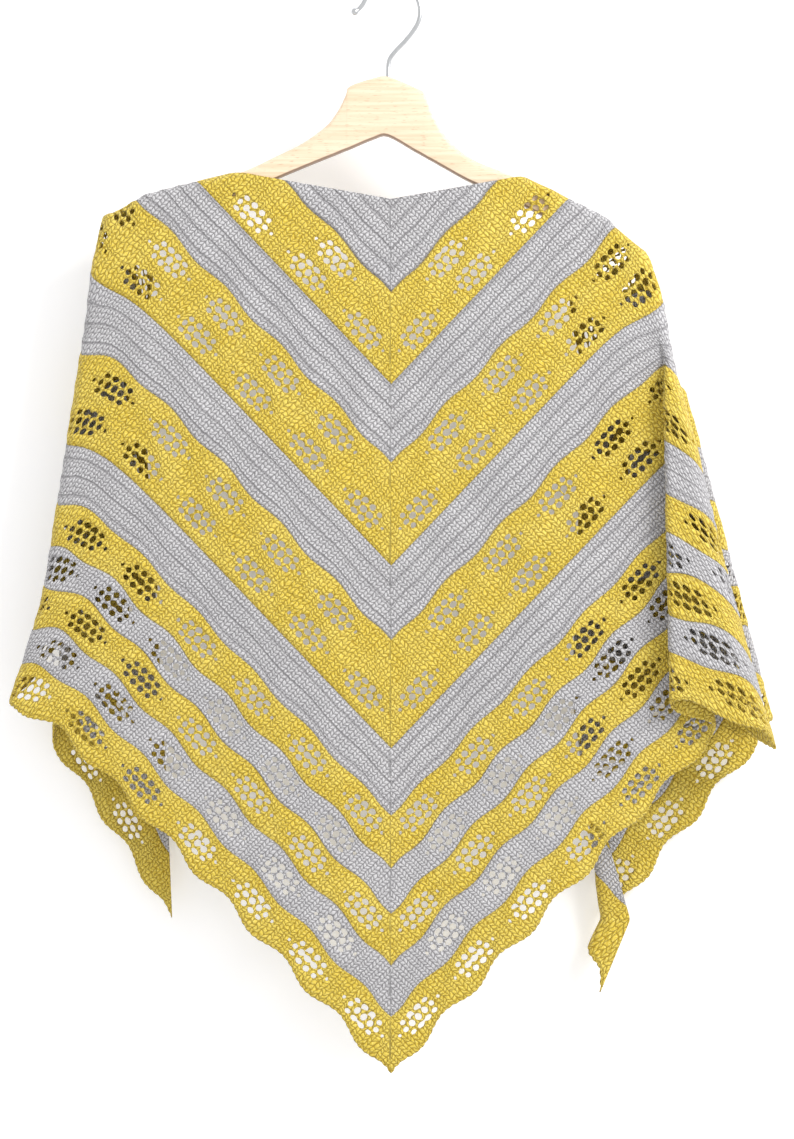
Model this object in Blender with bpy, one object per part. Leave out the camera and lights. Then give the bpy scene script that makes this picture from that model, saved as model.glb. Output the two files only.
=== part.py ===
"""Triangular crochet shawl hung over a wooden coat hanger.

The cloth is one triangle worked in chevron bands from the neck to the scalloped hem.
Every band is its own solid of the same thin wall, draped as it hangs:
the middle lies flat in front of the hanger, both ends go over the arms and fold away
behind, and a pleat of the right wing turns back over the front.
Metres, +Z up, front towards -Y. The origin is the inner top of the hook.
"""
import math

import bpy
import numpy as np

# Drawing scale: front view measured in units of 0.807 mm from the spine and the hook's top
UNIT = 0.000807
SPINE_ACROSS = 391.0
HOOK_TOP_DOWN = -18.0
NECK_DOWN = 200.0

# Cloth
WALL = 0.0022
SEAM_GAP = 0.0004
DEPTH_R = 0.0075
HOLE_HALF = 0.0036
LENS_PERIOD = 0.0645
WAVE = 0.0032
SCALLOP = 0.0050

# Flat cut of one half: stripes run from the spine to the top edge, at HEM_ANGLE from level
SPINE_LENGTH = 0.704
WING_OUT = 0.808
WING_RISE = 0.142
HEM_LENGTH = math.hypot(WING_OUT, SPINE_LENGTH + WING_RISE)
ALONG_U = WING_OUT / HEM_LENGTH
ALONG_V = -(SPINE_LENGTH + WING_RISE) / HEM_LENGTH
STRIPE_PER_R = HEM_LENGTH / SPINE_LENGTH

# Bands from the neck down: name, end along the spine, lens rows, wave of its lower edge
BANDS = [
    {"name": "band_01_grey", "end": 0.075, "lenses": 0, "wave": 0.0},
    {"name": "band_02_yellow", "end": 0.149, "lenses": 2, "wave": 0.0},
    {"name": "band_03_grey", "end": 0.212, "lenses": 0, "wave": 0.0},
    {"name": "band_04_yellow", "end": 0.295, "lenses": 2, "wave": 0.0},
    {"name": "band_05_grey", "end": 0.355, "lenses": 0, "wave": 0.0},
    {"name": "band_06_yellow", "end": 0.442, "lenses": 2, "wave": 0.0},
    {"name": "band_07_grey", "end": 0.496, "lenses": 0, "wave": 0.0},
    {"name": "band_08_yellow", "end": 0.539, "lenses": 1, "wave": 1.0},
    {"name": "band_09_grey", "end": 0.575, "lenses": 1, "wave": -1.0},
    {"name": "band_10_yellow", "end": 0.617, "lenses": 1, "wave": 1.0},
    {"name": "band_11_grey", "end": 0.658, "lenses": 1, "wave": -1.0},
    {"name": "band_12_yellow_hem", "end": 0.704, "lenses": 1, "wave": 1.0},
]

# Each wing: the end of the crest over the hanger arm, and a second point of that crest,
# both in the flat cut (outwards, downwards)
# Folds are rays from the crest's end, told by their lean from straight down:
#   flat = lean in the flat cut, seen = lean as it hangs, start = same lean at the crest,
#   flare = extra lean low down, offset = shift outwards, run = depth gained since the
#   fold before, jump = depth of the turn, stretch = how much longer the lace hangs there
# The fold called outline is the wing's edge, where the cloth goes behind.
LEFT = {
    "sign": -1.0, "apex": (0.239, 0.001), "crest": (0.116, -0.0285), "blend": (0.035, 0.080),
    "folds": [
        {"name": "outline", "flat": 8.8, "seen": 8.8, "start": 8.8, "flare": 2.2, "offset": 0.0,
         "run": 0.0, "jump": 0.0, "stretch": 1.0},
        {"name": "inner", "flat": 48.0, "seen": -9.0, "start": 48.0, "flare": 0.0, "offset": 0.0,
         "run": 0.006, "jump": 0.009, "stretch": 1.0},
        {"name": "outer", "flat": 90.9, "seen": 5.2, "start": 90.9, "flare": 0.0, "offset": 0.0,
         "run": 0.006, "jump": 0.009, "stretch": 1.0},
        {"name": "tip", "flat": 105.0, "seen": -6.5, "start": 105.0, "flare": 0.0, "offset": 0.0,
         "run": 0.003, "jump": 0.0, "stretch": 1.0},
    ],
}
RIGHT = {
    "sign": 1.0, "apex": (0.211, 0.028), "crest": (0.101, -0.0258), "blend": (0.045, 0.080),
    "folds": [
        {"name": "pleat under", "flat": 7.4, "seen": 7.4, "start": 3.5, "flare": 0.0,
         "offset": 0.0, "run": 0.0, "jump": -0.0095, "stretch": 1.0},
        {"name": "pleat over", "flat": 13.4, "seen": 0.8, "start": 8.5, "flare": 0.0,
         "offset": 0.004, "run": -0.004, "jump": -0.010, "stretch": 1.0},
        {"name": "outline", "flat": 27.0, "seen": 15.6, "start": 15.6, "flare": 0.3,
         "offset": 0.0, "run": -0.002, "jump": 0.0, "stretch": 1.2},
        {"name": "inner", "flat": 60.0, "seen": -6.0, "start": 60.0, "flare": 0.0,
         "offset": 0.0, "run": 0.006, "jump": 0.009, "stretch": 1.18},
        {"name": "outer", "flat": 86.0, "seen": 15.0, "start": 86.0, "flare": 0.0,
         "offset": 0.0, "run": 0.006, "jump": 0.014, "stretch": 1.0},
        {"name": "tip", "flat": 106.4, "seen": -7.0, "start": 106.4, "flare": 0.0,
         "offset": 0.0, "run": 0.004, "jump": 0.0, "stretch": 0.97},
    ],
}
FAR_DEPTH = 0.0090
FOLD_FADE = 0.05
FOLD_SHARE = 0.60
FLARE_FROM = 0.27
FLARE_OVER = 0.13
CORNER = 0.040
CORNER_IN = 0.012
DROOP = 0.030
DROOP_NEAR = 0.023
DROOP_FAR = 0.080
DROOP_SOFT = 0.008
RIPPLE = 0.0030
# Turned-back corner of the right wing's tip: the line it turns on, and its depth
TURN_TOP = (560.0, 600.0)
TURN_LEAN = 0.127
TURN_DEPTH = -0.012
TAIL_DOWN = 925.0
TAIL_LEAN = 0.85
TAIL_LONGER = 0.45

# Spacing of the cloth's mesh, and how closely it follows the drape
STEP_WAVED = LENS_PERIOD / 4.0
STEP_STRAIGHT = LENS_PERIOD / 2.0
REFINE_LEVELS = 7
REFINE_OFF = 0.0020
REFINE_CREST = 0.0005
REFINE_SHORTEST = 0.007
SEAM_SHORTEST = 0.0055
SEAM_BEND = 0.72
SEAM_OPEN = 2.0
WALL_BEND = 0.10

# Hanger: stations across (drawing units), top edge and height
BOARD_HALF = 0.0055
BOARD = [
    {"across": 246.0, "top": 170.5, "high": 23.0},
    {"across": 277.0, "top": 156.0, "high": 23.0},
    {"across": 303.0, "top": 143.0, "high": 25.0},
    {"across": 325.0, "top": 127.0, "high": 32.0},
    {"across": 334.0, "top": 116.5, "high": 39.0},
    {"across": 341.0, "top": 105.0, "high": 47.5},
    {"across": 346.0, "top": 94.0, "high": 56.5},
    {"across": 350.0, "top": 86.0, "high": 63.0},
    {"across": 374.0, "top": 78.0, "high": 61.0},
    {"across": 388.0, "top": 76.5, "high": 60.0},
    {"across": 414.0, "top": 87.0, "high": 64.0},
    {"across": 424.0, "top": 92.5, "high": 64.0},
    {"across": 428.0, "top": 102.0, "high": 57.0},
    {"across": 432.0, "top": 113.0, "high": 48.0},
    {"across": 447.0, "top": 138.0, "high": 31.5},
    {"across": 472.0, "top": 159.0, "high": 24.0},
    {"across": 508.0, "top": 174.0, "high": 24.0},
]
ARM_HIGH = 0.019
ARM_SHORT = 0.036
ARM_SINK = 0.006
ARM_STATIONS = 4
WIRE_R = 0.0020
SOCKET_R = 0.0023
SOCKET_DEPTH = 0.014
WIRE = [
    {"across": 388.0, "down": 92.0}, {"across": 388.0, "down": 78.0},
    {"across": 389.0, "down": 61.0}, {"across": 395.5, "down": 51.0},
    {"across": 405.0, "down": 41.0}, {"across": 413.0, "down": 31.0},
    {"across": 418.5, "down": 21.0}, {"across": 420.0, "down": 10.0},
    {"across": 417.0, "down": -2.0}, {"across": 409.5, "down": -12.5},
    {"across": 401.0, "down": -18.3}, {"across": 391.0, "down": -20.5},
    {"across": 381.0, "down": -18.3}, {"across": 372.5, "down": -12.0},
    {"across": 366.5, "down": -3.0}, {"across": 362.5, "down": 4.5},
    {"across": 357.5, "down": 10.0}, {"across": 351.0, "down": 13.0},
]
WIRE_SIDES = 8
WIRE_END_R = 0.0032

# Materials: colour, roughness, metallic
LOOKS = {
    "yellow yarn": ((0.62, 0.44, 0.035), 0.90, 0.0),
    "grey yarn": ((0.47, 0.45, 0.44), 0.90, 0.0),
    "pale wood": ((0.72, 0.53, 0.33), 0.50, 0.0),
    "bright steel": ((0.62, 0.63, 0.64), 0.25, 1.0),
}


def smooth(t):
    t = np.clip(t, 0.0, 1.0)
    return t * t * (3.0 - 2.0 * t)


def rise(a, radius):
    """Height of a round turn at arc length a from its edge, as a share of its radius."""
    return np.sin(np.minimum(np.maximum(a, 0.0) / np.maximum(radius, 1e-6), math.pi / 2.0))


def tuck(a, radius):
    """How far a round turn of this radius pulls the cloth in from a sharp edge."""
    turn = np.minimum(np.maximum(a, 0.0) / np.maximum(radius, 1e-6), math.pi / 2.0)
    return radius * (1.0 - np.cos(turn) + math.pi / 2.0 - 1.0 - turn)


def spot(across, down):
    return (across - SPINE_ACROSS) * UNIT, (HOOK_TOP_DOWN - down) * UNIT


def arm_lean(side):
    out = side["crest"][0] - side["apex"][0]
    down = side["crest"][1] - side["apex"][1]
    return math.atan2(out, down)


def drape_half(side, u, v):
    """Place flat points (outwards u, downwards v) of one wing as they hang."""
    out = u - side["apex"][0]
    down = v - side["apex"][1]
    rho = np.hypot(out, down)
    lean = np.arctan2(out, down)
    arm = arm_lean(side)
    lean = np.where(lean < arm, lean + 2.0 * math.pi, lean)
    full = smooth((rho - side["blend"][0]) / side["blend"][1])
    far_start = math.radians([f["start"] for f in side["folds"] if f["name"] == "outline"][0])
    far_span = arm + 2.0 * math.pi - far_start

    def plain(start):
        """Lean at the crest, where no fold has formed yet."""
        if start <= far_start:
            return start
        return far_start + (arm - far_start) * (start - far_start) / far_span

    outline = [f for f in side["folds"] if f["name"] == "outline"][0]
    flare = math.radians(outline["flare"]) * smooth((rho - FLARE_FROM) / FLARE_OVER)
    size = 0.62 + 0.38 * smooth(rho / 0.40)
    level = -DEPTH_R + 0.0 * rho
    grown = smooth((rho - 0.030) / 0.05)
    knots = [(arm + 0.0 * rho, arm + 0.0 * rho, None, level, 1.0 + 0.0 * rho)]
    for fold in side["folds"]:
        extra = flare if fold is outline else 0.0
        start = math.radians(fold["start"])
        flat = start + (math.radians(fold["flat"]) - start) * full + extra
        hung = math.radians(fold["seen"]) + fold["offset"] / np.maximum(rho, 0.02) + extra
        seen = plain(start) + (hung - plain(start)) * full
        before = level + fold["run"] * grown * size
        level = before + fold["jump"] * full * size
        if fold is outline:
            grown = smooth((rho - 0.015) / 0.06)
            level = DEPTH_R + (FAR_DEPTH - DEPTH_R) * grown
        knots.append((flat, seen, before, level, 1.0 + (fold["stretch"] - 1.0) * full))
    knots.append((arm + 2.0 * math.pi + 0.0 * rho, arm + 0.0 * rho, DEPTH_R + 0.0 * rho, None,
                  1.0 + 0.0 * rho))

    seen = arm + 0.0 * rho
    depth = 0.0 * rho
    shift = 0.0 * rho
    longer = 1.0 + 0.0 * rho
    for k in range(len(knots) - 1):
        a = knots[k]
        b = knots[k + 1]
        here = (lean >= a[0]) & (lean <= b[0])
        part = (lean - a[0]) / np.maximum(b[0] - a[0], 1e-9)
        seen = np.where(here, a[1] + part * (b[1] - a[1]), seen)
        depth = np.where(here, a[3] + part * (b[2] - a[3]), depth)
        longer = np.where(here, a[4] + part * (b[4] - a[4]), longer)
    for k in range(1, len(knots) - 1):
        a, b, c = knots[k - 1:k + 2]
        half = (b[3] - b[2]) / 2.0
        arc = rho * (lean - b[0])
        ahead = np.where(arc < 0.0, 1.0, -1.0)
        space = rho * np.minimum(b[0] - a[0], c[0] - b[0])
        reach = np.minimum(np.abs(half), FOLD_SHARE * space / (math.pi / 2.0))
        reach = np.abs(half) + (reach - np.abs(half)) * full
        depth = depth + half * ahead * (1.0 - rise(np.abs(arc), reach))
        way_in = np.sign(b[1] - a[1])
        turned = way_in * np.sign(c[1] - b[1]) < 0.0
        room = 0.8 * rho * np.minimum(np.abs(b[1] - a[1]), np.abs(c[1] - b[1]))
        radius = np.minimum(reach, room)
        share_in = np.abs(b[1] - a[1]) / np.maximum(b[0] - a[0], 1e-6)
        share_out = np.abs(c[1] - b[1]) / np.maximum(c[0] - b[0], 1e-6)
        share = np.where(arc < 0.0, share_in, share_out)
        rest = ((share_in + share_out) / 2.0 - share) * (math.pi / 2.0 - 1.0) * radius
        pulled = share * tuck(np.abs(arc), radius) + rest * (1.0 - smooth(np.abs(arc) / FOLD_FADE))
        shift = shift - np.where(turned, way_in * pulled, 0.0)

    edge = math.radians(outline["start"]) * (1.0 - full) + math.radians(outline["flat"]) * full
    edge = edge + flare
    gap = rho * (edge - lean)
    away = np.sqrt(gap * gap + DROOP_SOFT * DROOP_SOFT) - DROOP_SOFT
    droop = np.where(gap > 0.0, np.exp(-away / DROOP_NEAR), np.exp(-away / DROOP_FAR))
    droop = DROOP * droop * smooth(rho / 0.07)

    x = side["apex"][0] + np.sin(seen) * rho * longer + np.cos(seen) * shift
    z = -side["apex"][1] - np.cos(seen) * rho * longer + np.sin(seen) * shift - droop

    # Over the arm: a round crest of DEPTH_R
    perp = rho * np.sin(np.minimum(np.abs(seen - arm), math.pi / 2.0))
    depth = depth * rise(perp, DEPTH_R)
    pull = tuck(perp, DEPTH_R)
    x = x + math.cos(arm) * pull
    z = z + math.sin(arm) * pull

    # The shoulder's corner is round
    seen_edge = math.radians(outline["seen"]) + flare
    inward = rho * np.sin(np.clip(seen_edge - seen, 0.0, math.pi / 2.0))
    ease = np.maximum(1.0 - perp / CORNER, 0.0) * np.maximum(1.0 - inward / CORNER, 0.0)
    x = x - 0.72 * CORNER_IN * ease
    z = z - 0.70 * CORNER_IN * ease
    return x, depth, z, lean, rho


def turn_corner(x, y, z, lean):
    """Turn the right wing's last corner back over a slanting line."""
    line_x, line_z = spot(*TURN_TOP)
    line = line_x + TURN_LEAN * (line_z - z)
    tilt = math.cos(math.atan(TURN_LEAN))
    reach = (x - line) * tilt
    far = lean > math.radians(RIGHT["folds"][4]["flat"])
    low = smooth((spot(0.0, 500.0)[1] - z) / 0.06)
    radius = -TURN_DEPTH / 2.0
    arc = np.abs(reach)
    pulled = arc + tuck(arc, radius)
    side = np.where(reach > 0.0, 1.0, -1.0)
    deep = TURN_DEPTH / 2.0 * (1.0 - side * rise(arc, radius))
    near = far & (low > 0.0) & (reach < 0.03)
    new_x = line + pulled / tilt
    x = np.where(near & (reach < 0.0), new_x, np.where(near, x + (new_x - x) * low, x))
    y = np.where(near, y + deep * low, y)
    tail = np.where(far, np.maximum(spot(0.0, TAIL_DOWN)[1] - z, 0.0), 0.0)
    return x - tail * TAIL_LEAN, y, z - tail * TAIL_LONGER


def drape(u, v):
    """Flat cut (u to the right, v down from the neck) to the hung cloth."""
    u = np.asarray(u, dtype=float)
    v = np.asarray(v, dtype=float)
    lx, ly, lz, ll, lr = drape_half(LEFT, -u, v)
    rx, ry, rz, rl, rr = drape_half(RIGHT, u, v)
    rz = rz - (NECK_DOWN - HOOK_TOP_DOWN) * UNIT
    rx, ry, rz = turn_corner(rx, ry, rz, rl)
    left = u < 0.0
    x = np.where(left, -lx, rx)
    y = np.where(left, ly, ry)
    z = np.where(left, lz - (NECK_DOWN - HOOK_TOP_DOWN) * UNIT, rz)
    wave = np.sin(2.0 * math.pi * u / 0.23 + 0.6) * smooth(v / 0.35)
    wave = wave * smooth((0.21 - np.abs(u)) / 0.1)
    return x, y + RIPPLE * wave, z


def normals(u, v):
    h = 0.0006
    ax, ay, az = drape(u + h, v)
    bx, by, bz = drape(u - h, v)
    cx, cy, cz = drape(u, v + h)
    dx, dy, dz = drape(u, v - h)
    across = np.stack([ax - bx, ay - by, az - bz], axis=-1)
    along = np.stack([cx - dx, cy - dy, cz - dz], axis=-1)
    n = np.cross(along, across)
    return n / np.maximum(np.linalg.norm(n, axis=-1, keepdims=True), 1e-12)


def flat_point(side, r, s, p=0.0):
    """Point of the flat cut: r along the spine, s along the stripe, p across it."""
    r = r + 1.4481 * p
    s = s + 1.0470 * p
    return side * s * ALONG_U, r + s * ALONG_V


def crest_distance(u, v):
    """Distance of flat points from the crest over the nearer hanger arm."""
    near = 1.0 + 0.0 * u
    for side in (LEFT, RIGHT):
        ax, av = side["apex"]
        bx, bv = side["crest"]
        out = side["sign"] * u
        share = ((out - ax) * (bx - ax) + (v - av) * (bv - av)) / ((bx - ax) ** 2 + (bv - av) ** 2)
        share = np.clip(share, 0.0, 1.0)
        near = np.minimum(near, np.hypot(out - ax - share * (bx - ax), v - av - share * (bv - av)))
    return near


def wave_at(amount, s):
    return amount * np.cos(2.0 * math.pi * (s - LENS_PERIOD / 2.0) / LENS_PERIOD)


def is_smooth(sign, r, s):
    """Whether the cloth runs nearly flat round this place, with room for a hole."""
    around = [(0.0, 0.0), (0.012, 0.0), (-0.012, 0.0), (0.0, 0.012), (0.0, -0.012)]
    spots = np.array([flat_point(sign, r, s + a, p) for a, p in around])
    n = normals(spots[:, 0], spots[:, 1])
    return float(np.min(n @ n.T)) > 0.85


def build_line(r, shift, wave, holes, step):
    """One line of the cloth over both wings, as rows of (plain point, upper, lower)."""
    if r <= 0.0:
        return [((0.0, 0.0), (0.0, 0.0), (0.0, 0.0))]
    end = r * STRIPE_PER_R
    rows = []
    for sign in (-1.0, 1.0):
        centres = []
        if holes is not None:
            count = 0
            while (count + holes + 0.5) * LENS_PERIOD < end - 0.022:
                c = (count + holes + 0.5) * LENS_PERIOD
                count += 1
                if is_smooth(sign, r, c):
                    centres.append(c)
        places = [(0.0, 0.0)]
        count = 1
        while count * step < end - 0.3 * step:
            s = count * step
            if all(abs(s - c) > HOLE_HALF + 0.006 for c in centres):
                places.append((s, 0.0))
            count += 1
        for c in centres:
            places += [(c - HOLE_HALF, 0.0), (c, HOLE_HALF), (c + HOLE_HALF, 0.0)]
        places.append((end, 0.0))
        places.sort()
        half = []
        for s, up in places:
            bend = wave_at(wave, s) * min(1.0, s / 0.02) * min(1.0, (end - s) / 0.02)
            half.append((flat_point(sign, r + bend, s),
                         flat_point(sign, r + shift + bend, s, -up),
                         flat_point(sign, r + shift + bend, s, up)))
        rows += half[::-1][:-1] if sign < 0.0 else half
    return rows


def turns_right(a, b, c):
    return (b[0] - a[0]) * (c[1] - a[1]) - (b[1] - a[1]) * (c[0] - a[0]) < -2e-7


def zip_lines(points, ids_a, ids_b):
    """Triangles between two neighbouring lines, always over the shorter diagonal."""
    faces = []
    i = 0
    j = 0
    while i < len(ids_a) - 1 or j < len(ids_b) - 1:
        if i == len(ids_a) - 1:
            over_a = False
        elif j == len(ids_b) - 1:
            over_a = True
        else:
            here_a, next_a = points[ids_a[i]], points[ids_a[i + 1]]
            here_b, next_b = points[ids_b[j]], points[ids_b[j + 1]]
            fits_a = turns_right(here_a, here_b, next_a) and turns_right(next_a, here_b, next_b)
            fits_b = turns_right(here_a, here_b, next_b) and turns_right(here_a, next_b, next_a)
            over_a = math.dist(next_a, here_b) < math.dist(here_a, next_b)
            if fits_a != fits_b:
                over_a = fits_a
        if over_a:
            faces.append((ids_a[i], ids_b[j], ids_a[i + 1]))
            i += 1
        else:
            faces.append((ids_a[i], ids_b[j], ids_b[j + 1]))
            j += 1
    return faces


def refine(points, plain, faces):
    """Halve the edges whose middle hangs too far from the straight line between their ends."""
    for level in range(REFINE_LEVELS):
        edges = sorted({tuple(sorted(e)) for f in faces
                        for e in ((f[0], f[1]), (f[1], f[2]), (f[2], f[0]))})
        base = np.array(plain)
        hung = np.stack(drape(base[:, 0], base[:, 1]), axis=-1)
        e = np.array(edges)
        mid = (base[e[:, 0]] + base[e[:, 1]]) / 2.0
        true = np.stack(drape(mid[:, 0], mid[:, 1]), axis=-1)
        off = np.linalg.norm(true - (hung[e[:, 0]] + hung[e[:, 1]]) / 2.0, axis=1)
        quarter = base[e[:, 0]] * 0.75 + base[e[:, 1]] * 0.25
        other = base[e[:, 0]] * 0.25 + base[e[:, 1]] * 0.75
        for place, share in ((quarter, 0.25), (other, 0.75)):
            seen = np.stack(drape(place[:, 0], place[:, 1]), axis=-1)
            chord = hung[e[:, 0]] * (1.0 - share) + hung[e[:, 1]] * share
            off = np.maximum(off, np.linalg.norm(seen - chord, axis=1))
        length = np.linalg.norm(hung[e[:, 0]] - hung[e[:, 1]], axis=1)
        for end in (0, 1):
            length = np.maximum(length, np.linalg.norm(true - hung[e[:, end]], axis=1) * 2.0)
        limit = np.where(crest_distance(mid[:, 0], mid[:, 1]) < 0.024, REFINE_CREST, REFINE_OFF)
        uses = {}
        for f in faces:
            for i in range(3):
                key = tuple(sorted((f[i], f[(i + 1) % 3])))
                uses[key] = uses.get(key, 0) + 1
        rim = np.array([uses[key] == 1 for key in edges])
        n = normals(base[:, 0], base[:, 1])
        bend = np.sum(n[e[:, 0]] * n[e[:, 1]], axis=1)
        bent = np.where(rim, bend < SEAM_BEND, bend < WALL_BEND)
        split_here = (off > limit) & (length > REFINE_SHORTEST)
        split_here = split_here | (bent & (length > SEAM_SHORTEST))
        cut = {}
        for k in np.nonzero(split_here)[0]:
            a, b = edges[k]
            cut[edges[k]] = len(points)
            points.append(tuple((np.array(points[a]) + np.array(points[b])) / 2.0))
            plain.append(tuple((np.array(plain[a]) + np.array(plain[b])) / 2.0))
        if not cut:
            break
        split = []
        for f in faces:
            mids = [cut.get(tuple(sorted((f[i], f[(i + 1) % 3])))) for i in range(3)]
            found = [m for m in mids if m is not None]
            if not found:
                split.append(f)
            elif len(found) == 3:
                split += [(f[0], mids[0], mids[2]), (f[1], mids[1], mids[0]),
                          (f[2], mids[2], mids[1]), tuple(mids)]
            elif len(found) == 1:
                i = [m is not None for m in mids].index(True)
                split += [(f[i], mids[i], f[(i + 2) % 3]), (mids[i], f[(i + 1) % 3], f[(i + 2) % 3])]
            else:
                i = [m is None for m in mids].index(True)
                a, b, c = f[i], f[(i + 1) % 3], f[(i + 2) % 3]
                m_bc, m_ca = mids[(i + 1) % 3], mids[(i + 2) % 3]
                split.append((c, m_ca, m_bc))
                if math.dist(points[a], points[m_bc]) < math.dist(points[b], points[m_ca]):
                    split += [(a, b, m_bc), (a, m_bc, m_ca)]
                else:
                    split += [(a, b, m_ca), (b, m_bc, m_ca)]
        faces = split
    return faces


def thicken(points, plain, faces):
    """Wall of even thickness round a sheet of flat points."""
    base = np.array(plain)
    bend = 0.0
    for a, b in ((0.006, 0.0), (0.0, 0.006)):
        ahead = normals(base[:, 0] + a, base[:, 1] + b)
        back = normals(base[:, 0] - a, base[:, 1] - b)
        bend = np.maximum(bend, 1.0 - np.sum(ahead * back, axis=1))
    flat = base + (np.array(points) - base) * (1.0 + SEAM_OPEN * np.minimum(bend, 1.0))[:, None]
    x, y, z = drape(flat[:, 0], flat[:, 1])
    mid = np.stack([x, y, z], axis=-1)
    n = normals(base[:, 0], base[:, 1]) * WALL / 2.0
    count = len(points)
    verts = np.concatenate([mid + n, mid - n])
    out = []
    edges = {}
    for a, b, c in faces:
        out.append((a, b, c))
        out.append((a + count, c + count, b + count))
        for e in ((a, b), (b, c), (c, a)):
            edges[e] = True
    for a, b in edges:
        if (b, a) in edges:
            continue
        if points[a][0] < points[b][0]:
            out.append((b, a, b + count))
            out.append((a, a + count, b + count))
        else:
            out.append((b, a, a + count))
            out.append((b, a + count, b + count))
    return verts, out


def signed_volume(verts, faces):
    t = np.array(faces)
    return float(np.sum(np.einsum("ij,ij->i", verts[t[:, 0]],
                                  np.cross(verts[t[:, 1]], verts[t[:, 2]]))) / 6.0)


def add_object(name, verts, faces, look, smooth_angle=50.0):
    if signed_volume(verts, faces) < 0.0:
        faces = [tuple(reversed(f)) for f in faces]
    mesh = bpy.data.meshes.new(name)
    mesh.from_pydata([tuple(p) for p in verts], [], faces)
    mesh.update()
    mesh.shade_smooth()
    mesh.set_sharp_from_angle(angle=math.radians(smooth_angle))
    obj = bpy.data.objects.new(name, mesh)
    bpy.context.scene.collection.objects.link(obj)
    colour, rough, metal = LOOKS[look]
    mat = bpy.data.materials.new(name + " " + look)
    mat.use_nodes = True
    shader = mat.node_tree.nodes["Principled BSDF"]
    shader.inputs["Base Color"].default_value = (*colour, 1.0)
    shader.inputs["Roughness"].default_value = rough
    shader.inputs["Metallic"].default_value = metal
    mesh.materials.append(mat)
    return obj


def build_band(number):
    band = BANDS[number]
    last = number == len(BANDS) - 1
    top = BANDS[number - 1]["end"] if number else 0.0
    end = band["end"]
    above = BANDS[number - 1]["wave"] if number else 0.0
    tall = end - top
    half_gap = SEAM_GAP / 2.0 * 1.4481
    lines = [(top, half_gap, above * WAVE, None)]
    if band["lenses"] == 1:
        lines.append((top + tall / 2.0, 0.0, 0.0, 0.5 if number in (8, 10) else 0.0))
    elif band["lenses"] == 2:
        lines.append((top + tall * 0.27, 0.0, 0.0, 0.5))
        lines.append((top + tall * 0.73, 0.0, 0.0, 0.0))
    low = band["wave"] * (SCALLOP if last else WAVE)
    lines.append((end, 0.0 if last else -half_gap, low, None))
    points = []
    plain = []
    faces = []
    before = None
    for r, shift, wave, holes in lines:
        step = STEP_WAVED if wave else STEP_STRAIGHT
        ids_up = []
        ids_low = []
        for base, up, low in build_line(r, shift, wave, holes, step):
            ids_up.append(len(points))
            points.append(up)
            plain.append(base if up == low else up)
            ids_low.append(ids_up[-1])
            if up != low:
                ids_low[-1] = len(points)
                points.append(low)
                plain.append(low)
        if before is not None:
            faces += zip_lines(points, before, ids_up)
        before = ids_low
    faces = refine(points, plain, faces)
    verts, solid = thicken(points, plain, faces)
    look = "grey yarn" if "grey" in band["name"] else "yellow yarn"
    return add_object(band["name"], verts, solid, look)


def loft(rings):
    verts = [p for ring in rings for p in ring]
    n = len(rings[0])
    faces = []
    for k in range(len(rings) - 1):
        for i in range(n):
            a = k * n + i
            b = k * n + (i + 1) % n
            faces.append((a, b, b + n))
            faces.append((a, b + n, a + n))
    for k, flip in ((0, False), (len(rings) - 1, True)):
        for i in range(1, n - 1):
            tri = (k * n, k * n + i + 1, k * n + i)
            faces.append(tuple(reversed(tri)) if flip else tri)
    return np.array(verts), faces


def board_section(x, top, high, share=1.0):
    """Upright section of the board: full round top edge, eased lower edge."""
    half = BOARD_HALF * share
    ring = []
    for i in range(7):
        a = math.pi * i / 6.0
        ring.append((x, -half * math.cos(a), top - half + half * math.sin(a)))
    low = top - high
    ring.append((x, half, low + 0.002))
    ring.append((x, half - 0.002, low))
    ring.append((x, -half + 0.002, low))
    ring.append((x, -half, low + 0.002))
    return ring


def arm_stations(side):
    """Top edge of the board under the cloth's crest, from the neck side outwards."""
    arm = arm_lean(side)
    length = math.hypot(side["crest"][0] - side["apex"][0], side["crest"][1] - side["apex"][1])
    base_z = -(NECK_DOWN - HOOK_TOP_DOWN) * UNIT
    out = []
    for i in range(ARM_STATIONS):
        away = length - 0.004 - (length - 0.004 - ARM_SHORT) * i / (ARM_STATIONS - 1.0)
        drop = math.pi / 2.0 * DEPTH_R
        x = side["apex"][0] + math.sin(arm) * away + math.cos(arm) * drop
        z = -side["apex"][1] - math.cos(arm) * away + math.sin(arm) * drop
        slant = abs(math.sin(arm))
        sink = ARM_SINK * (i / (ARM_STATIONS - 1.0)) ** 2
        top = base_z + z + BOARD_HALF * (1.0 + 1.0 / slant) / 2.0 - sink
        out.append((side["sign"] * x, top, ARM_HIGH / slant - sink))
    return out


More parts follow.
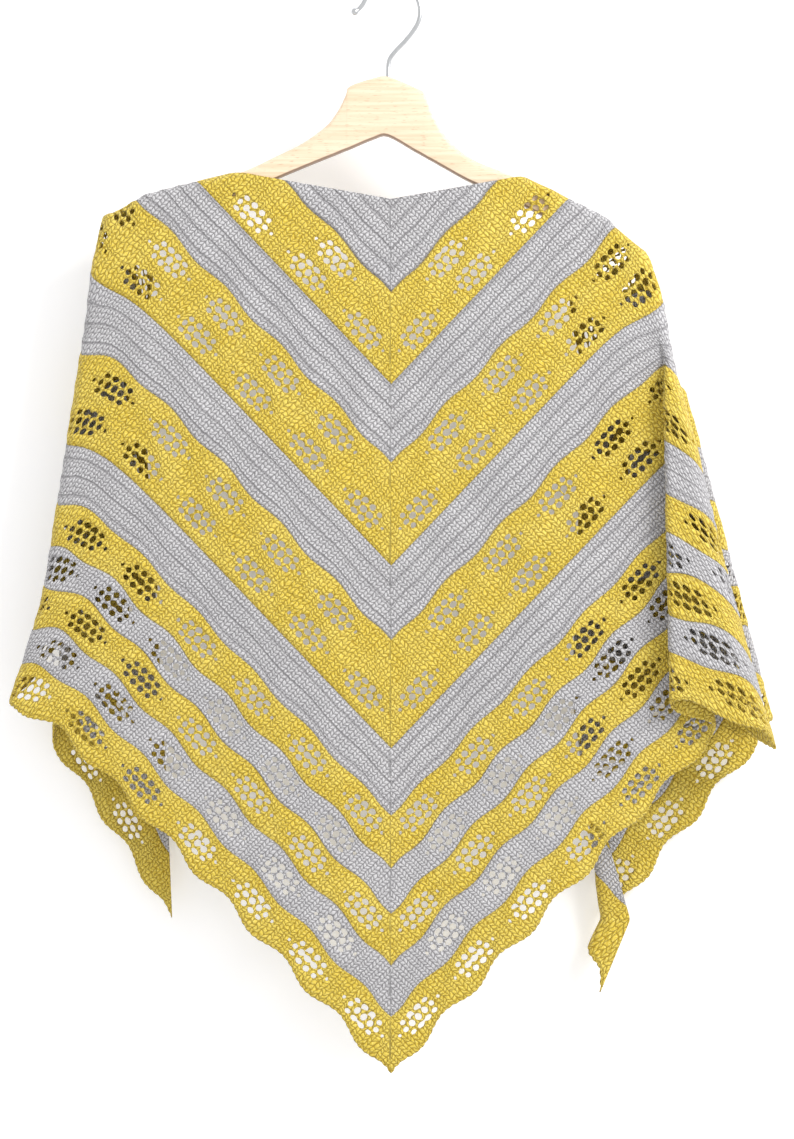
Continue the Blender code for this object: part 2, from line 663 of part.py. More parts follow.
def build_board():
    rings = []
    left = arm_stations(LEFT)
    x, top, high = left[-1]
    rings.append(board_section(x - 0.004, top - 0.005, high - 0.008, 0.45))
    for k, (x, top, high) in enumerate(left):
        rings.append(board_section(x, top, high, 0.70 if k == ARM_STATIONS - 1 else 1.0))
    for row in BOARD:
        x, top = spot(row["across"], row["top"])
        rings.append(board_section(x, top, row["high"] * UNIT))
    right = arm_stations(RIGHT)
    for k, (x, top, high) in enumerate(right):
        rings.append(board_section(x, top, high, 0.70 if k == ARM_STATIONS - 1 else 1.0))
    x, top, high = right[-1]
    rings.append(board_section(x + 0.004, top - 0.0075, high - 0.008, 0.45))
    rings = sorted(rings, key=lambda ring: ring[0][0])
    verts, faces = loft(rings)
    board = add_object("hanger_body", verts, faces, "pale wood", 35.0)
    x, top = spot(388.0, 76.5)
    bpy.ops.mesh.primitive_cylinder_add(vertices=16, radius=SOCKET_R, depth=SOCKET_DEPTH * 2.0,
                                        location=(x, 0.0, top))
    cutter = bpy.context.object
    cutter.name = "socket_cutter"
    cut = board.modifiers.new("socket", "BOOLEAN")
    cut.operation = "DIFFERENCE"
    cut.solver = "EXACT"
    cut.object = cutter
    cutter.hide_render = True
    cutter.display_type = "WIRE"
    return board


def curve_points(points, steps):
    """Round line through the points."""
    pts = [np.array(p) for p in points]
    pts = [2.0 * pts[0] - pts[1]] + pts + [2.0 * pts[-1] - pts[-2]]
    out = []
    for i in range(1, len(pts) - 2):
        for j in range(steps):
            t = j / steps
            a, b, c, d = pts[i - 1:i + 3]
            out.append(0.5 * (2.0 * b + (c - a) * t + (2.0 * a - 5.0 * b + 4.0 * c - d) * t * t
                              + (3.0 * b - a - 3.0 * c + d) * t ** 3))
    out.append(pts[-2])
    return out


def build_hook():
    points = [np.array((spot(w["across"], w["down"])[0], 0.0, spot(w["across"], w["down"])[1]))
              for w in WIRE]
    line = curve_points(points, 1)
    rings = []
    count = len(line)
    for k, p in enumerate(line):
        ahead = line[min(k + 1, count - 1)]
        back = line[max(k - 1, 0)]
        way = (ahead - back) / np.linalg.norm(ahead - back)
        side = np.array((way[2], 0.0, -way[0]))
        radius = WIRE_R
        if k == count - 1:
            radius = WIRE_END_R * 0.55
        if k == count - 2:
            radius = WIRE_END_R
        ring = []
        for i in range(WIRE_SIDES):
            a = 2.0 * math.pi * i / WIRE_SIDES
            ring.append(tuple(p + radius * (math.cos(a) * side
                                            + math.sin(a) * np.array((0.0, 1.0, 0.0)))))
        rings.append(ring)
    verts, faces = loft(rings)
    return add_object("hanger_hook", verts, faces, "bright steel", 50.0)


for old in list(bpy.data.objects):
    bpy.data.objects.remove(old, do_unlink=True)

for index in range(len(BANDS)):
    build_band(index)
build_board()
build_hook()
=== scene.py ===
# %% [markdown]
# # A crochet shawl on a clothes hanger
# The real object is one triangle of crochet, worked in stripes from the neck down, and hung over a
# wooden hanger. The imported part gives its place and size, so the scene starts by loading it.
# Everything below is in metres, with the hook's inner top at the origin.

# %% Load the frame
import math

import bpy
import numpy as np
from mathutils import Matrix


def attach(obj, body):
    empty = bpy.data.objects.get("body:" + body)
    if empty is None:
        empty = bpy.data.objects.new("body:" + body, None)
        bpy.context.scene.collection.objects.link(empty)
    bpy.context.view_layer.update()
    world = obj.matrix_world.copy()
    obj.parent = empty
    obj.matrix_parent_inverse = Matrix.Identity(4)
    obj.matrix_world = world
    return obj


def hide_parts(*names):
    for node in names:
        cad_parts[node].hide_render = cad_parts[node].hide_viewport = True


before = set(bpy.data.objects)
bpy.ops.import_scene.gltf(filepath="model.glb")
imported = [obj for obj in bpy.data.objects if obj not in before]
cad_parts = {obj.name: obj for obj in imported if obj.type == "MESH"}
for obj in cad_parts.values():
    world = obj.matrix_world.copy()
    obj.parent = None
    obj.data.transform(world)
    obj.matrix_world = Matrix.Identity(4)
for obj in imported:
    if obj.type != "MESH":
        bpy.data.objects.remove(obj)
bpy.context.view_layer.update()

# %% [markdown]
# ## Sizes of the cloth
# A drawing of the front gives the scale: one drawing unit is 0.807 mm. The flat cut is a triangle,
# and each stripe is a band with a top and an end along the middle line. The same values as in the
# part's source are used, so the fine cloth lies exactly on its solid.

# %% Sizes of the cloth
UNIT = 0.000807
SPINE_ACROSS = 391.0
HOOK_TOP_DOWN = -18.0
NECK_DOWN = 200.0

DEPTH_R = 0.0075
LENS_PERIOD = 0.0645
SPINE_LENGTH = 0.704
WING_OUT = 0.808
WING_RISE = 0.142
HEM_LENGTH = math.hypot(WING_OUT, SPINE_LENGTH + WING_RISE)
ALONG_U = WING_OUT / HEM_LENGTH
ALONG_V = -(SPINE_LENGTH + WING_RISE) / HEM_LENGTH
STRIPE_PER_R = HEM_LENGTH / SPINE_LENGTH
SPINE_PER_P = 1.4481
STRIPE_PER_P = 1.0470
print("one half of the hem", round(HEM_LENGTH, 3), "m")

# %% [markdown]
# ## The stripes
# Each band has its colour, the place of its end on the middle line, how many rows of lace motifs it
# carries, and how far its lower edge waves. Crochet edges wave where motifs push the rows apart.

# %% The stripes
BAND_KEYS = ("name", "end", "lenses", "wave")
BANDS = [dict(zip(BAND_KEYS, row)) for row in (
    ("band_01_grey", 0.075, 0, 0.0022),
    ("band_02_yellow", 0.149, 2, 0.0000),
    ("band_03_grey", 0.212, 0, 0.0024),
    ("band_04_yellow", 0.295, 2, 0.0000),
    ("band_05_grey", 0.355, 0, 0.0024),
    ("band_06_yellow", 0.442, 2, 0.0000),
    ("band_07_grey", 0.496, 0, -0.0022),
    ("band_08_yellow", 0.539, 1, 0.0032),
    ("band_09_grey", 0.575, 1, -0.0032),
    ("band_10_yellow", 0.617, 1, 0.0032),
    ("band_11_grey", 0.658, 1, -0.0032),
    ("band_12_yellow_hem", 0.704, 1, 0.0050),
)]


def band_top(number):
    """Where a band starts on the middle line."""
    return BANDS[number - 1]["end"] if number else 0.0


def band_tall(number):
    """Height of a band across its rows."""
    return (BANDS[number]["end"] - band_top(number)) / SPINE_PER_P


print(len(BANDS), "stripes, the tallest", round(max(band_tall(n) for n in range(len(BANDS))), 3), "m")

# %% [markdown]
# ## How each wing folds
# A wing goes over the hanger's arm and folds behind. Every fold is a ray from the arm's end, told by
# its lean in the flat cut and its lean as it hangs. The values are those of the part's source.

# %% Folds of both wings
def fold_row(name, flat, seen, start=None, flare=0.0, offset=0.0, run=0.0, jump=0.0, stretch=1.0):
    """One fold: its leans in degrees, cut flat and as hung, and how the cloth turns there."""
    return {"name": name, "flat": flat, "seen": seen, "start": flat if start is None else start,
            "flare": flare, "offset": offset, "run": run, "jump": jump, "stretch": stretch}


LEFT = {
    "sign": -1.0, "apex": (0.239, 0.001), "crest": (0.116, -0.0285), "blend": (0.035, 0.08),
    "folds": [
        fold_row("outline", 8.8, 8.8, flare=2.2),
        fold_row("inner", 48.0, -9.0, run=0.006, jump=0.009),
        fold_row("outer", 90.9, 5.2, run=0.006, jump=0.009),
        fold_row("tip", 105.0, -6.5, run=0.003),
    ],
}
RIGHT = {
    "sign": 1.0, "apex": (0.211, 0.028), "crest": (0.101, -0.0258), "blend": (0.045, 0.08),
    "folds": [
        fold_row("pleat under", 7.4, 7.4, start=3.5, jump=-0.0095),
        fold_row("pleat over", 13.4, 0.8, start=8.5, offset=0.004, run=-0.004, jump=-0.01),
        fold_row("outline", 27.0, 15.6, start=15.6, flare=0.3, run=-0.002, stretch=1.2),
        fold_row("inner", 60.0, -6.0, run=0.006, jump=0.009, stretch=1.18),
        fold_row("outer", 86.0, 15.0, run=0.006, jump=0.014),
        fold_row("tip", 106.4, -7.0, run=0.004, stretch=0.97),
    ],
}

# Depth of the far layer, and how far from the arm's end the layers reach their full distance
FAR_DEPTH = 0.0090
LAYER_FROM = 0.030
LAYER_OVER = 0.05
FAR_FROM = 0.015
FAR_OVER = 0.06
CLOSE_SHARE = 0.62
CLOSE_OVER = 0.40
# How much of the cloth beside a fold its round turn may take
FOLD_FADE = 0.05
FOLD_SHARE = 0.60
TURN_ROOM = 0.8
# The outline's flare, the round shoulder and the drooping edge
FLARE_FROM = 0.27
FLARE_OVER = 0.13
CORNER = 0.040
CORNER_IN = 0.012
CORNER_WAY = (0.72, 0.70)
DROOP = 0.030
DROOP_OVER = 0.07
DROOP_NEAR = 0.023
DROOP_FAR = 0.080
DROOP_SOFT = 0.008
# Shallow ripple of the front panel: height, length, and how wide it reaches
RIPPLE = 0.0030
RIPPLE_LONG = 0.23
RIPPLE_WIDE = 0.21
# Turned-back corner of the right wing's tip: the line it turns on, and its depth
TURN_TOP = (560.0, 600.0)
TURN_LEAN = 0.127
TURN_DEPTH = -0.012
TAIL_DOWN = 925.0
TAIL_LEAN = 0.85
TAIL_LONGER = 0.45

print("folds", [len(side["folds"]) for side in (LEFT, RIGHT)])

# %% [markdown]
# ## From the flat cut to the hung cloth
# Small functions do what hands do: lay the cloth over a round crest, turn it at a fold on a small
# radius, let its edge droop. They work on whole arrays of points at once, which keeps Blender quick.

# %% Round turns
def smooth(t):
    """Soft step from nought to one."""
    t = np.clip(t, 0.0, 1.0)
    return t * t * (3.0 - 2.0 * t)


def rise(a, radius):
    """Height of a round turn at arc length a from its edge, as a share of its radius."""
    return np.sin(np.minimum(np.maximum(a, 0.0) / np.maximum(radius, 1e-6), math.pi / 2.0))


def tuck(a, radius):
    """How far a round turn of this radius pulls the cloth in from a sharp edge."""
    turn = np.minimum(np.maximum(a, 0.0) / np.maximum(radius, 1e-6), math.pi / 2.0)
    return radius * (1.0 - np.cos(turn) + math.pi / 2.0 - 1.0 - turn)


def spot(across, down):
    """Place of a point of the drawing in metres, sideways and upwards."""
    return (across - SPINE_ACROSS) * UNIT, (HOOK_TOP_DOWN - down) * UNIT


def arm_lean(side):
    """Lean of the hanger's arm under the cloth."""
    out = side["crest"][0] - side["apex"][0]
    down = side["crest"][1] - side["apex"][1]
    return math.atan2(out, down)


print("quarter turn of 8 mm is", round(8 * math.pi / 2, 1), "mm of cloth")

# %% [markdown]
# One wing is placed fold by fold. Between two folds the cloth runs straight, and at each fold it
# turns through a half circle, so the layers behind lie a little apart, as thick crochet does.

# %% Drape of one wing
def drape_half(side, u, v):
    """Place flat points (outwards u, downwards v) of one wing as they hang."""
    out = u - side["apex"][0]
    down = v - side["apex"][1]
    rho = np.hypot(out, down)
    lean = np.arctan2(out, down)
    arm = arm_lean(side)
    lean = np.where(lean < arm, lean + 2.0 * math.pi, lean)
    full = smooth((rho - side["blend"][0]) / side["blend"][1])
    far_start = math.radians([f["start"] for f in side["folds"] if f["name"] == "outline"][0])
    far_span = arm + 2.0 * math.pi - far_start

    def plain(start):
        """Lean at the crest, where no fold has formed yet."""
        if start <= far_start:
            return start
        return far_start + (arm - far_start) * (start - far_start) / far_span

    outline = [f for f in side["folds"] if f["name"] == "outline"][0]
    flare = math.radians(outline["flare"]) * smooth((rho - FLARE_FROM) / FLARE_OVER)
    size = CLOSE_SHARE + (1.0 - CLOSE_SHARE) * smooth(rho / CLOSE_OVER)
    level = -DEPTH_R + 0.0 * rho
    grown = smooth((rho - LAYER_FROM) / LAYER_OVER)
    knots = [(arm + 0.0 * rho, arm + 0.0 * rho, None, level, 1.0 + 0.0 * rho)]
    for fold in side["folds"]:
        extra = flare if fold is outline else 0.0
        start = math.radians(fold["start"])
        flat = start + (math.radians(fold["flat"]) - start) * full + extra
        hung = math.radians(fold["seen"]) + fold["offset"] / np.maximum(rho, 0.02) + extra
        seen = plain(start) + (hung - plain(start)) * full
        before = level + fold["run"] * grown * size
        level = before + fold["jump"] * full * size
        if fold is outline:
            grown = smooth((rho - FAR_FROM) / FAR_OVER)
            level = DEPTH_R + (FAR_DEPTH - DEPTH_R) * grown
        knots.append((flat, seen, before, level, 1.0 + (fold["stretch"] - 1.0) * full))
    knots.append((arm + 2.0 * math.pi + 0.0 * rho, arm + 0.0 * rho, DEPTH_R + 0.0 * rho, None,
                  1.0 + 0.0 * rho))

    seen = arm + 0.0 * rho
    depth = 0.0 * rho
    shift = 0.0 * rho
    longer = 1.0 + 0.0 * rho
    for k in range(len(knots) - 1):
        a = knots[k]
        b = knots[k + 1]
        here = (lean >= a[0]) & (lean <= b[0])
        part = (lean - a[0]) / np.maximum(b[0] - a[0], 1e-9)
        seen = np.where(here, a[1] + part * (b[1] - a[1]), seen)
        depth = np.where(here, a[3] + part * (b[2] - a[3]), depth)
        longer = np.where(here, a[4] + part * (b[4] - a[4]), longer)
    for k in range(1, len(knots) - 1):
        a, b, c = knots[k - 1:k + 2]
        half = (b[3] - b[2]) / 2.0
        arc = rho * (lean - b[0])
        ahead = np.where(arc < 0.0, 1.0, -1.0)
        space = rho * np.minimum(b[0] - a[0], c[0] - b[0])
        reach = np.minimum(np.abs(half), FOLD_SHARE * space / (math.pi / 2.0))
        reach = np.abs(half) + (reach - np.abs(half)) * full
        depth = depth + half * ahead * (1.0 - rise(np.abs(arc), reach))
        way_in = np.sign(b[1] - a[1])
        turned = way_in * np.sign(c[1] - b[1]) < 0.0
        room = TURN_ROOM * rho * np.minimum(np.abs(b[1] - a[1]), np.abs(c[1] - b[1]))
        radius = np.minimum(reach, room)
        share_in = np.abs(b[1] - a[1]) / np.maximum(b[0] - a[0], 1e-6)
        share_out = np.abs(c[1] - b[1]) / np.maximum(c[0] - b[0], 1e-6)
        share = np.where(arc < 0.0, share_in, share_out)
        rest = ((share_in + share_out) / 2.0 - share) * (math.pi / 2.0 - 1.0) * radius
        pulled = share * tuck(np.abs(arc), radius) + rest * (1.0 - smooth(np.abs(arc) / FOLD_FADE))
        shift = shift - np.where(turned, way_in * pulled, 0.0)

    edge = math.radians(outline["start"]) * (1.0 - full) + math.radians(outline["flat"]) * full
    edge = edge + flare
    gap = rho * (edge - lean)
    away = np.sqrt(gap * gap + DROOP_SOFT * DROOP_SOFT) - DROOP_SOFT
    droop = np.where(gap > 0.0, np.exp(-away / DROOP_NEAR), np.exp(-away / DROOP_FAR))
    droop = DROOP * droop * smooth(rho / DROOP_OVER)

    x = side["apex"][0] + np.sin(seen) * rho * longer + np.cos(seen) * shift
    z = -side["apex"][1] - np.cos(seen) * rho * longer + np.sin(seen) * shift - droop

    # Over the arm: a round crest of DEPTH_R
    perp = rho * np.sin(np.minimum(np.abs(seen - arm), math.pi / 2.0))
    depth = depth * rise(perp, DEPTH_R)
    pull = tuck(perp, DEPTH_R)
    x = x + math.cos(arm) * pull
    z = z + math.sin(arm) * pull

    # The shoulder's corner is round
    seen_edge = math.radians(outline["seen"]) + flare
    inward = rho * np.sin(np.clip(seen_edge - seen, 0.0, math.pi / 2.0))
    ease = np.maximum(1.0 - perp / CORNER, 0.0) * np.maximum(1.0 - inward / CORNER, 0.0)
    x = x - CORNER_WAY[0] * CORNER_IN * ease
    z = z - CORNER_WAY[1] * CORNER_IN * ease
    return x, depth, z, lean


shoulder = drape_half(LEFT, np.array(0.3), np.array(0.1))
print("left shoulder at", [round(float(a), 3) for a in shoulder[:3]])

# %% [markdown]
# The right wing's last corner turns back over a slanting line, so its tip shows from the front.
# Both wings then make the whole cloth, with a shallow ripple in the front panel.

# %% Drape of the whole cloth
def turn_corner(x, y, z, lean):
    """Turn the right wing's last corner back over a slanting line."""
    line_x, line_z = spot(*TURN_TOP)
    line = line_x + TURN_LEAN * (line_z - z)
    tilt = math.cos(math.atan(TURN_LEAN))
    reach = (x - line) * tilt
    far = lean > math.radians(RIGHT["folds"][4]["flat"])
    low = smooth((spot(0.0, 500.0)[1] - z) / 0.06)
    radius = -TURN_DEPTH / 2.0
    arc = np.abs(reach)
    pulled = arc + tuck(arc, radius)
    side = np.where(reach > 0.0, 1.0, -1.0)
    deep = TURN_DEPTH / 2.0 * (1.0 - side * rise(arc, radius))
    near = far & (low > 0.0) & (reach < 0.03)
    new_x = line + pulled / tilt
    x = np.where(near & (reach < 0.0), new_x, np.where(near, x + (new_x - x) * low, x))
    y = np.where(near, y + deep * low, y)
    tail = np.where(far, np.maximum(spot(0.0, TAIL_DOWN)[1] - z, 0.0), 0.0)
    return x - tail * TAIL_LEAN, y, z - tail * TAIL_LONGER


def drape(u, v):
    """Flat cut (u to the right, v down from the neck) to the hung cloth."""
    u = np.asarray(u, dtype=float)
    v = np.asarray(v, dtype=float)
    neck = (NECK_DOWN - HOOK_TOP_DOWN) * UNIT
    lx, ly, lz = drape_half(LEFT, -u, v)[:3]
    rx, ry, rz, lean = drape_half(RIGHT, u, v)
    rx, ry, rz = turn_corner(rx, ry, rz - neck, lean)
    left = u < 0.0
    x = np.where(left, -lx, rx)
    y = np.where(left, ly, ry)
    z = np.where(left, lz - neck, rz)
    wave = np.sin(2.0 * math.pi * u / RIPPLE_LONG + 0.6) * smooth(v / 0.35)
    wave = wave * smooth((RIPPLE_WIDE - np.abs(u)) / 0.1)
    return x, y + RIPPLE * wave, z


def normals(u, v):
    """Directions square to the hung cloth, from small steps in the flat cut."""
    h = 0.0006
    across = np.stack(drape(u + h, v), axis=-1) - np.stack(drape(u - h, v), axis=-1)
    along = np.stack(drape(u, v + h), axis=-1) - np.stack(drape(u, v - h), axis=-1)
    n = np.cross(along, across)
    return n / np.maximum(np.linalg.norm(n, axis=-1, keepdims=True), 1e-12)


print("point of the shawl at", [round(float(a), 3) for a in drape(0.0, SPINE_LENGTH)])

# %% [markdown]
# ## The lace motif
# One motif is a lens of three rows of small holes, big in the middle and small at the ends. The
# holes are cut through the mesh: grid points next to a hole move onto its rim, and the faces inside
# it go. This keeps the count low and the rims smooth. Each hole differs a little, as by hand.

# %% Holes of one motif
LENS_LONG = 0.0240
OUTER_ROW = 0.0063
HOLES = []
MIDDLE_COUNT = 7
ROWS = ((-OUTER_ROW, 4, 0.0082), (0.0, MIDDLE_COUNT, 0.0074), (OUTER_ROW, 4, 0.0082))
for row_across, count, apart in ROWS:
    for i in range(count):
        along = (i - (count - 1) / 2.0) * apart
        fade = abs(along) / LENS_LONG
        HOLES.append({"along": along, "across": row_across * (1.0 - 0.30 * fade * fade),
                      "half_long": 0.0034 - 0.0021 * fade * fade,
                      "half_tall": (0.0030 if count == MIDDLE_COUNT else 0.0025) - 0.0014 * fade * fade})
print(len(HOLES), "holes in a motif")

# %% Where the motifs lie
LENS_FROM_EDGE = 0.029
ROW_PLACES = (0.27, 0.73)


def lens_rows(number):
    """Rows of motifs of a band: distance across it, and how far the row is shifted along it."""
    tall = band_tall(number)
    if BANDS[number]["lenses"] == 1:
        return [(tall / 2.0, 0.5 if "grey" in BANDS[number]["name"] else 0.0)]
    if BANDS[number]["lenses"] == 2:
        return [(tall * ROW_PLACES[0], 0.5), (tall * ROW_PLACES[1], 0.0)]
    return []


def lens_centres(number):
    """Motif centres of one half of a band: along its top edge and across it."""
    found = []
    for across, shift in lens_rows(number):
        end = (band_top(number) + SPINE_PER_P * across) * STRIPE_PER_R
        along = (shift + 0.5) * LENS_PERIOD
        while along < end - LENS_FROM_EDGE:
            found.append((along - STRIPE_PER_P * across, across))
            along += LENS_PERIOD
    return found


print("motifs", 2 * sum(len(lens_centres(n)) for n in range(len(BANDS))))

# %% [markdown]
# ## The grid of a band
# The grid's columns run square to the stripe, as crochet stitches do, and stop at the middle line
# and at the cloth's top edge. Both halves share their points on the middle line, so the mitre closes.

# %% Flat grid of a band
CELL = 0.0018
CALM = 0.02
HEM_STITCH = 0.0062
HEM_BITE = 0.0010


def wave_shape(amount, s, end):
    """Offset of a wavy edge, calm at the middle line and at the cloth's edge."""
    calm = np.clip(s / CALM, 0.0, 1.0) * np.clip((end - s) / CALM, 0.0, 1.0)
    return amount * np.cos(2.0 * math.pi * (s - LENS_PERIOD / 2.0) / LENS_PERIOD) * calm


def flat_grid(number):
    """One half of a band: foot along, distance across, place along, its limit, share across."""
    band = BANDS[number]
    top = band_top(number)
    above = BANDS[number - 1]["wave"] if number else 0.0
    tall = band_tall(number)
    rows = max(int(round(tall / CELL)), 2)
    long = int((band["end"] * STRIPE_PER_R) / CELL) + 2
    first = -int(STRIPE_PER_P * (tall + 0.008) / CELL) - 2
    j, k = np.meshgrid(np.arange(rows + 1), np.arange(first, long), indexing="ij")
    share = j / rows
    foot = k * CELL
    across = share * tall
    s = foot + STRIPE_PER_P * across
    end = (top + SPINE_PER_P * across) * STRIPE_PER_R
    bend = (1.0 - share) * wave_shape(above, s, end) + share * wave_shape(band["wave"], s, end)
    across = across + bend / SPINE_PER_P
    if number == len(BANDS) - 1:
        stitch = np.abs(np.sin(math.pi * s / HEM_STITCH))
        across = across + share ** 8 * HEM_BITE * (stitch - 0.6)
    s = foot + STRIPE_PER_P * across
    end = (top + SPINE_PER_P * across) * STRIPE_PER_R
    return foot, across, s, end, share


print("grid of band 6", flat_grid(5)[0].shape)

# %% [markdown]
# A hole takes the faces whose middle lies in it. The points round it then move outwards or inwards
# onto an outline between a lozenge and an oval, which is how yarn frames a hole.

# %% Cut one hole
HOLE_POWER = 1.6
HOLE_CUT = 0.92
RIM_FROM = 0.35
RIM_TO = 2.2


def cut_hole(h, number, centre, middle, grid, gone, moved):
    """Drop the faces in a hole of the motif at centre and middle, and move its rim points."""
    foot, across = grid
    rows, cols = foot.shape
    odd = math.sin(37.0 * number + 911.0 * centre + 517.0 * middle)
    half_long = h["half_long"] * (1.0 + 0.14 * odd)
    half_tall = h["half_tall"] * (1.0 - 0.12 * odd)
    along = centre + h["along"] + 0.0005 * odd
    up = middle + h["across"]
    cell_foot = (foot[:-1, :-1] + foot[1:, 1:]) / 2.0
    cell_across = (across[:-1, :-1] + across[1:, 1:]) / 2.0
    cut = np.hypot((cell_foot - along) / half_long, (cell_across - up) / half_tall) < HOLE_CUT
    gone |= cut
    rim = np.zeros(foot.shape, dtype=bool)
    for a, b in ((0, 0), (0, 1), (1, 0), (1, 1)):
        rim[a:rows - 1 + a, b:cols - 1 + b] |= cut
    away = (np.abs((foot - along) / half_long) ** HOLE_POWER
            + np.abs((across - up) / half_tall) ** HOLE_POWER) ** (1.0 / HOLE_POWER)
    rim &= (away > RIM_FROM) & (away < RIM_TO)
    moved[0][rim] = along + (foot[rim] - along) / away[rim]
    moved[1][rim] = up + (across[rim] - up) / away[rim]


print("a hole's outline has the power", HOLE_POWER)

# %% Points and holes of a band
LENS_HALF = (0.0290, 0.0125)
SNAP = 0.3 * CELL


def band_points(number):
    """One half of a band with its holes: point numbers, places, masks, and the faces to drop."""
    foot, across, s, end, share = flat_grid(number)
    rows, cols = s.shape
    inside = (s > SNAP) & (s < end - SNAP)
    low = s <= SNAP
    s = np.where(inside, s, np.where(low, 0.0, end))
    foot = s - STRIPE_PER_P * across
    lens = np.zeros(s.shape)
    gone = np.zeros((rows - 1, cols - 1), dtype=bool)
    moved = (foot.copy(), across.copy())
    for centre, middle in lens_centres(number):
        near = np.hypot((foot - centre) / LENS_HALF[0], (across - middle) / LENS_HALF[1])
        lens = np.maximum(lens, np.clip(1.35 - near, 0.0, 1.0))
        for k, h in enumerate(HOLES):
            cut_hole(h, k, centre, middle, (foot, across), gone, moved)
    foot = np.where(inside, moved[0], foot)
    across = np.where(inside, moved[1], across)
    s = np.where(inside, foot + STRIPE_PER_P * across, s)
    spine = rows * cols + np.arange(rows)[:, None]
    ids = np.where(low, spine, spine + rows)
    ids = np.where(inside, np.arange(rows * cols).reshape(rows, cols), ids)
    return ids, foot, across, s, lens, share, gone


print("points of half of band 6", len(np.unique(band_points(5)[0])))

# %% [markdown]
# ## The wall of a band
# The flat points go through the drape, and a wall of real thickness is laid on both sides of it.
# Soft relief is added to the wall itself: ribs along the grey rows and a raised rim round each lens,
# because a shape that shows should be in the mesh and not only in the shading.

# %% Relief of the wall
WALL_HALF = 0.00100
RIB_PERIOD = 0.0116
RIB_HIGH = 0.00032
EDGE_ROLL = 0.00045
LENS_RIM = 0.00055


def relief(number, across, share, lens):
    """Height added to each side of the wall."""
    edge = np.minimum(share, 1.0 - share)
    roll = -EDGE_ROLL * np.exp(-edge / 0.035)
    if BANDS[number]["lenses"]:
        return roll + LENS_RIM * np.exp(-((lens - 0.42) / 0.20) ** 2)
    return roll + RIB_HIGH * np.cos(2.0 * math.pi * across / RIB_PERIOD)


print("wall", round((WALL_HALF * 2) * 1000, 1), "mm")

# %% Both halves of a band
def both_halves(number):
    """Faces of both halves, and a table of points: flat place, foot, across, lens and share."""
    ids, foot, across, s, lens, share, gone = band_points(number)
    rows, cols = ids.shape
    size = rows * cols + 2 * rows
    down = band_top(number) + SPINE_PER_P * across + s * ALONG_V
    tables = []
    for sign in (1.0, -1.0):
        flat = np.stack([sign * s * ALONG_U, down, sign * foot, across, lens, share], axis=-1)
        table = np.zeros((size, 6))
        table[ids.ravel()] = flat.reshape(-1, 6)
        tables.append(table)
    right = np.stack([ids[:-1, :-1], ids[1:, :-1], ids[1:, 1:], ids[:-1, 1:]], axis=-1)[~gone]
    on_spine = (right >= rows * cols) & (right < rows * cols + rows)
    left = np.where(on_spine, right, right + size)
    faces = np.concatenate([right, left[:, ::-1]])
    same = (faces == np.roll(faces, -1, axis=1)).sum(axis=1)
    folded = (faces[:, 0] == faces[:, 2]) | (faces[:, 1] == faces[:, 3])
    faces = faces[(same < 2) & ~folded]
    used, back = np.unique(faces, return_inverse=True)
    return back.reshape(faces.shape), np.concatenate(tables)[used]


print("faces a side of band 1", len(both_halves(0)[0]))

# %% Close the wall
def wall_faces(sheet, count):
    """Front, back and rim faces; the back points follow the front ones, count of each."""
    edges = np.stack([sheet, np.roll(sheet, -1, axis=1)], axis=-1).reshape(-1, 2)
    edges = edges[edges[:, 0] != edges[:, 1]].astype(np.int64)
    free = edges[~np.isin(edges[:, 0] * count + edges[:, 1], edges[:, 1] * count + edges[:, 0])]
    rim = np.stack([free[:, 1], free[:, 0], free[:, 0] + count, free[:, 1] + count], axis=-1)
    front = [tuple(dict.fromkeys(q)) for q in sheet.tolist()]
    back = [tuple(dict.fromkeys(q)) for q in (sheet[:, ::-1] + count).tolist()]
    return front + back + [tuple(q) for q in rim.tolist()]


print("a square gives", len(wall_faces(np.array([[0, 1, 2, 3]]), 4)), "faces")

# %% [markdown]
# The flat layout is kept on the mesh as a UV map, so the yarn's material knows where it is in the
# rows. Between two rows of motifs the crochet rows swing round the lenses, and so does the layout.

# %% Keep the flat layout on the mesh
UV_PER_METRE = 10.0
BAND_APART = 0.1
ROW_SWING = 0.0036


def write_layout(mesh, number, place):
    """UV map of the flat cut, and the masks that the yarn needs."""
    swing = np.cos(2.0 * math.pi * np.abs(place[:, 0]) / ALONG_U / LENS_PERIOD)
    swing = swing * ROW_SWING * np.sin(math.pi * place[:, 5]) ** 2
    swing = swing * (BANDS[number]["lenses"] == 2)
    rows = place[:, 5] * band_tall(number) - swing + number * BAND_APART
    corner = np.zeros(len(mesh.loops), dtype=np.int32)
    mesh.loops.foreach_get("vertex_index", corner)
    layout = np.stack([place[:, 2], rows], axis=-1) * UV_PER_METRE
    layout = np.concatenate([layout, layout])[corner]
    mesh.uv_layers.new(name="cloth").data.foreach_set("uv", layout.astype(np.float32).ravel())
    plain = np.full(len(place), 0.0 if BANDS[number]["lenses"] else 1.0)
    for name, values in (("share", place[:, 5]), ("plain", plain)):
        layer = mesh.attributes.new(name, "FLOAT", "POINT")
        layer.data.foreach_set("value", np.concatenate([values, values]).astype(np.float32))


print("one UV unit is", 1.0 / UV_PER_METRE, "m of cloth")

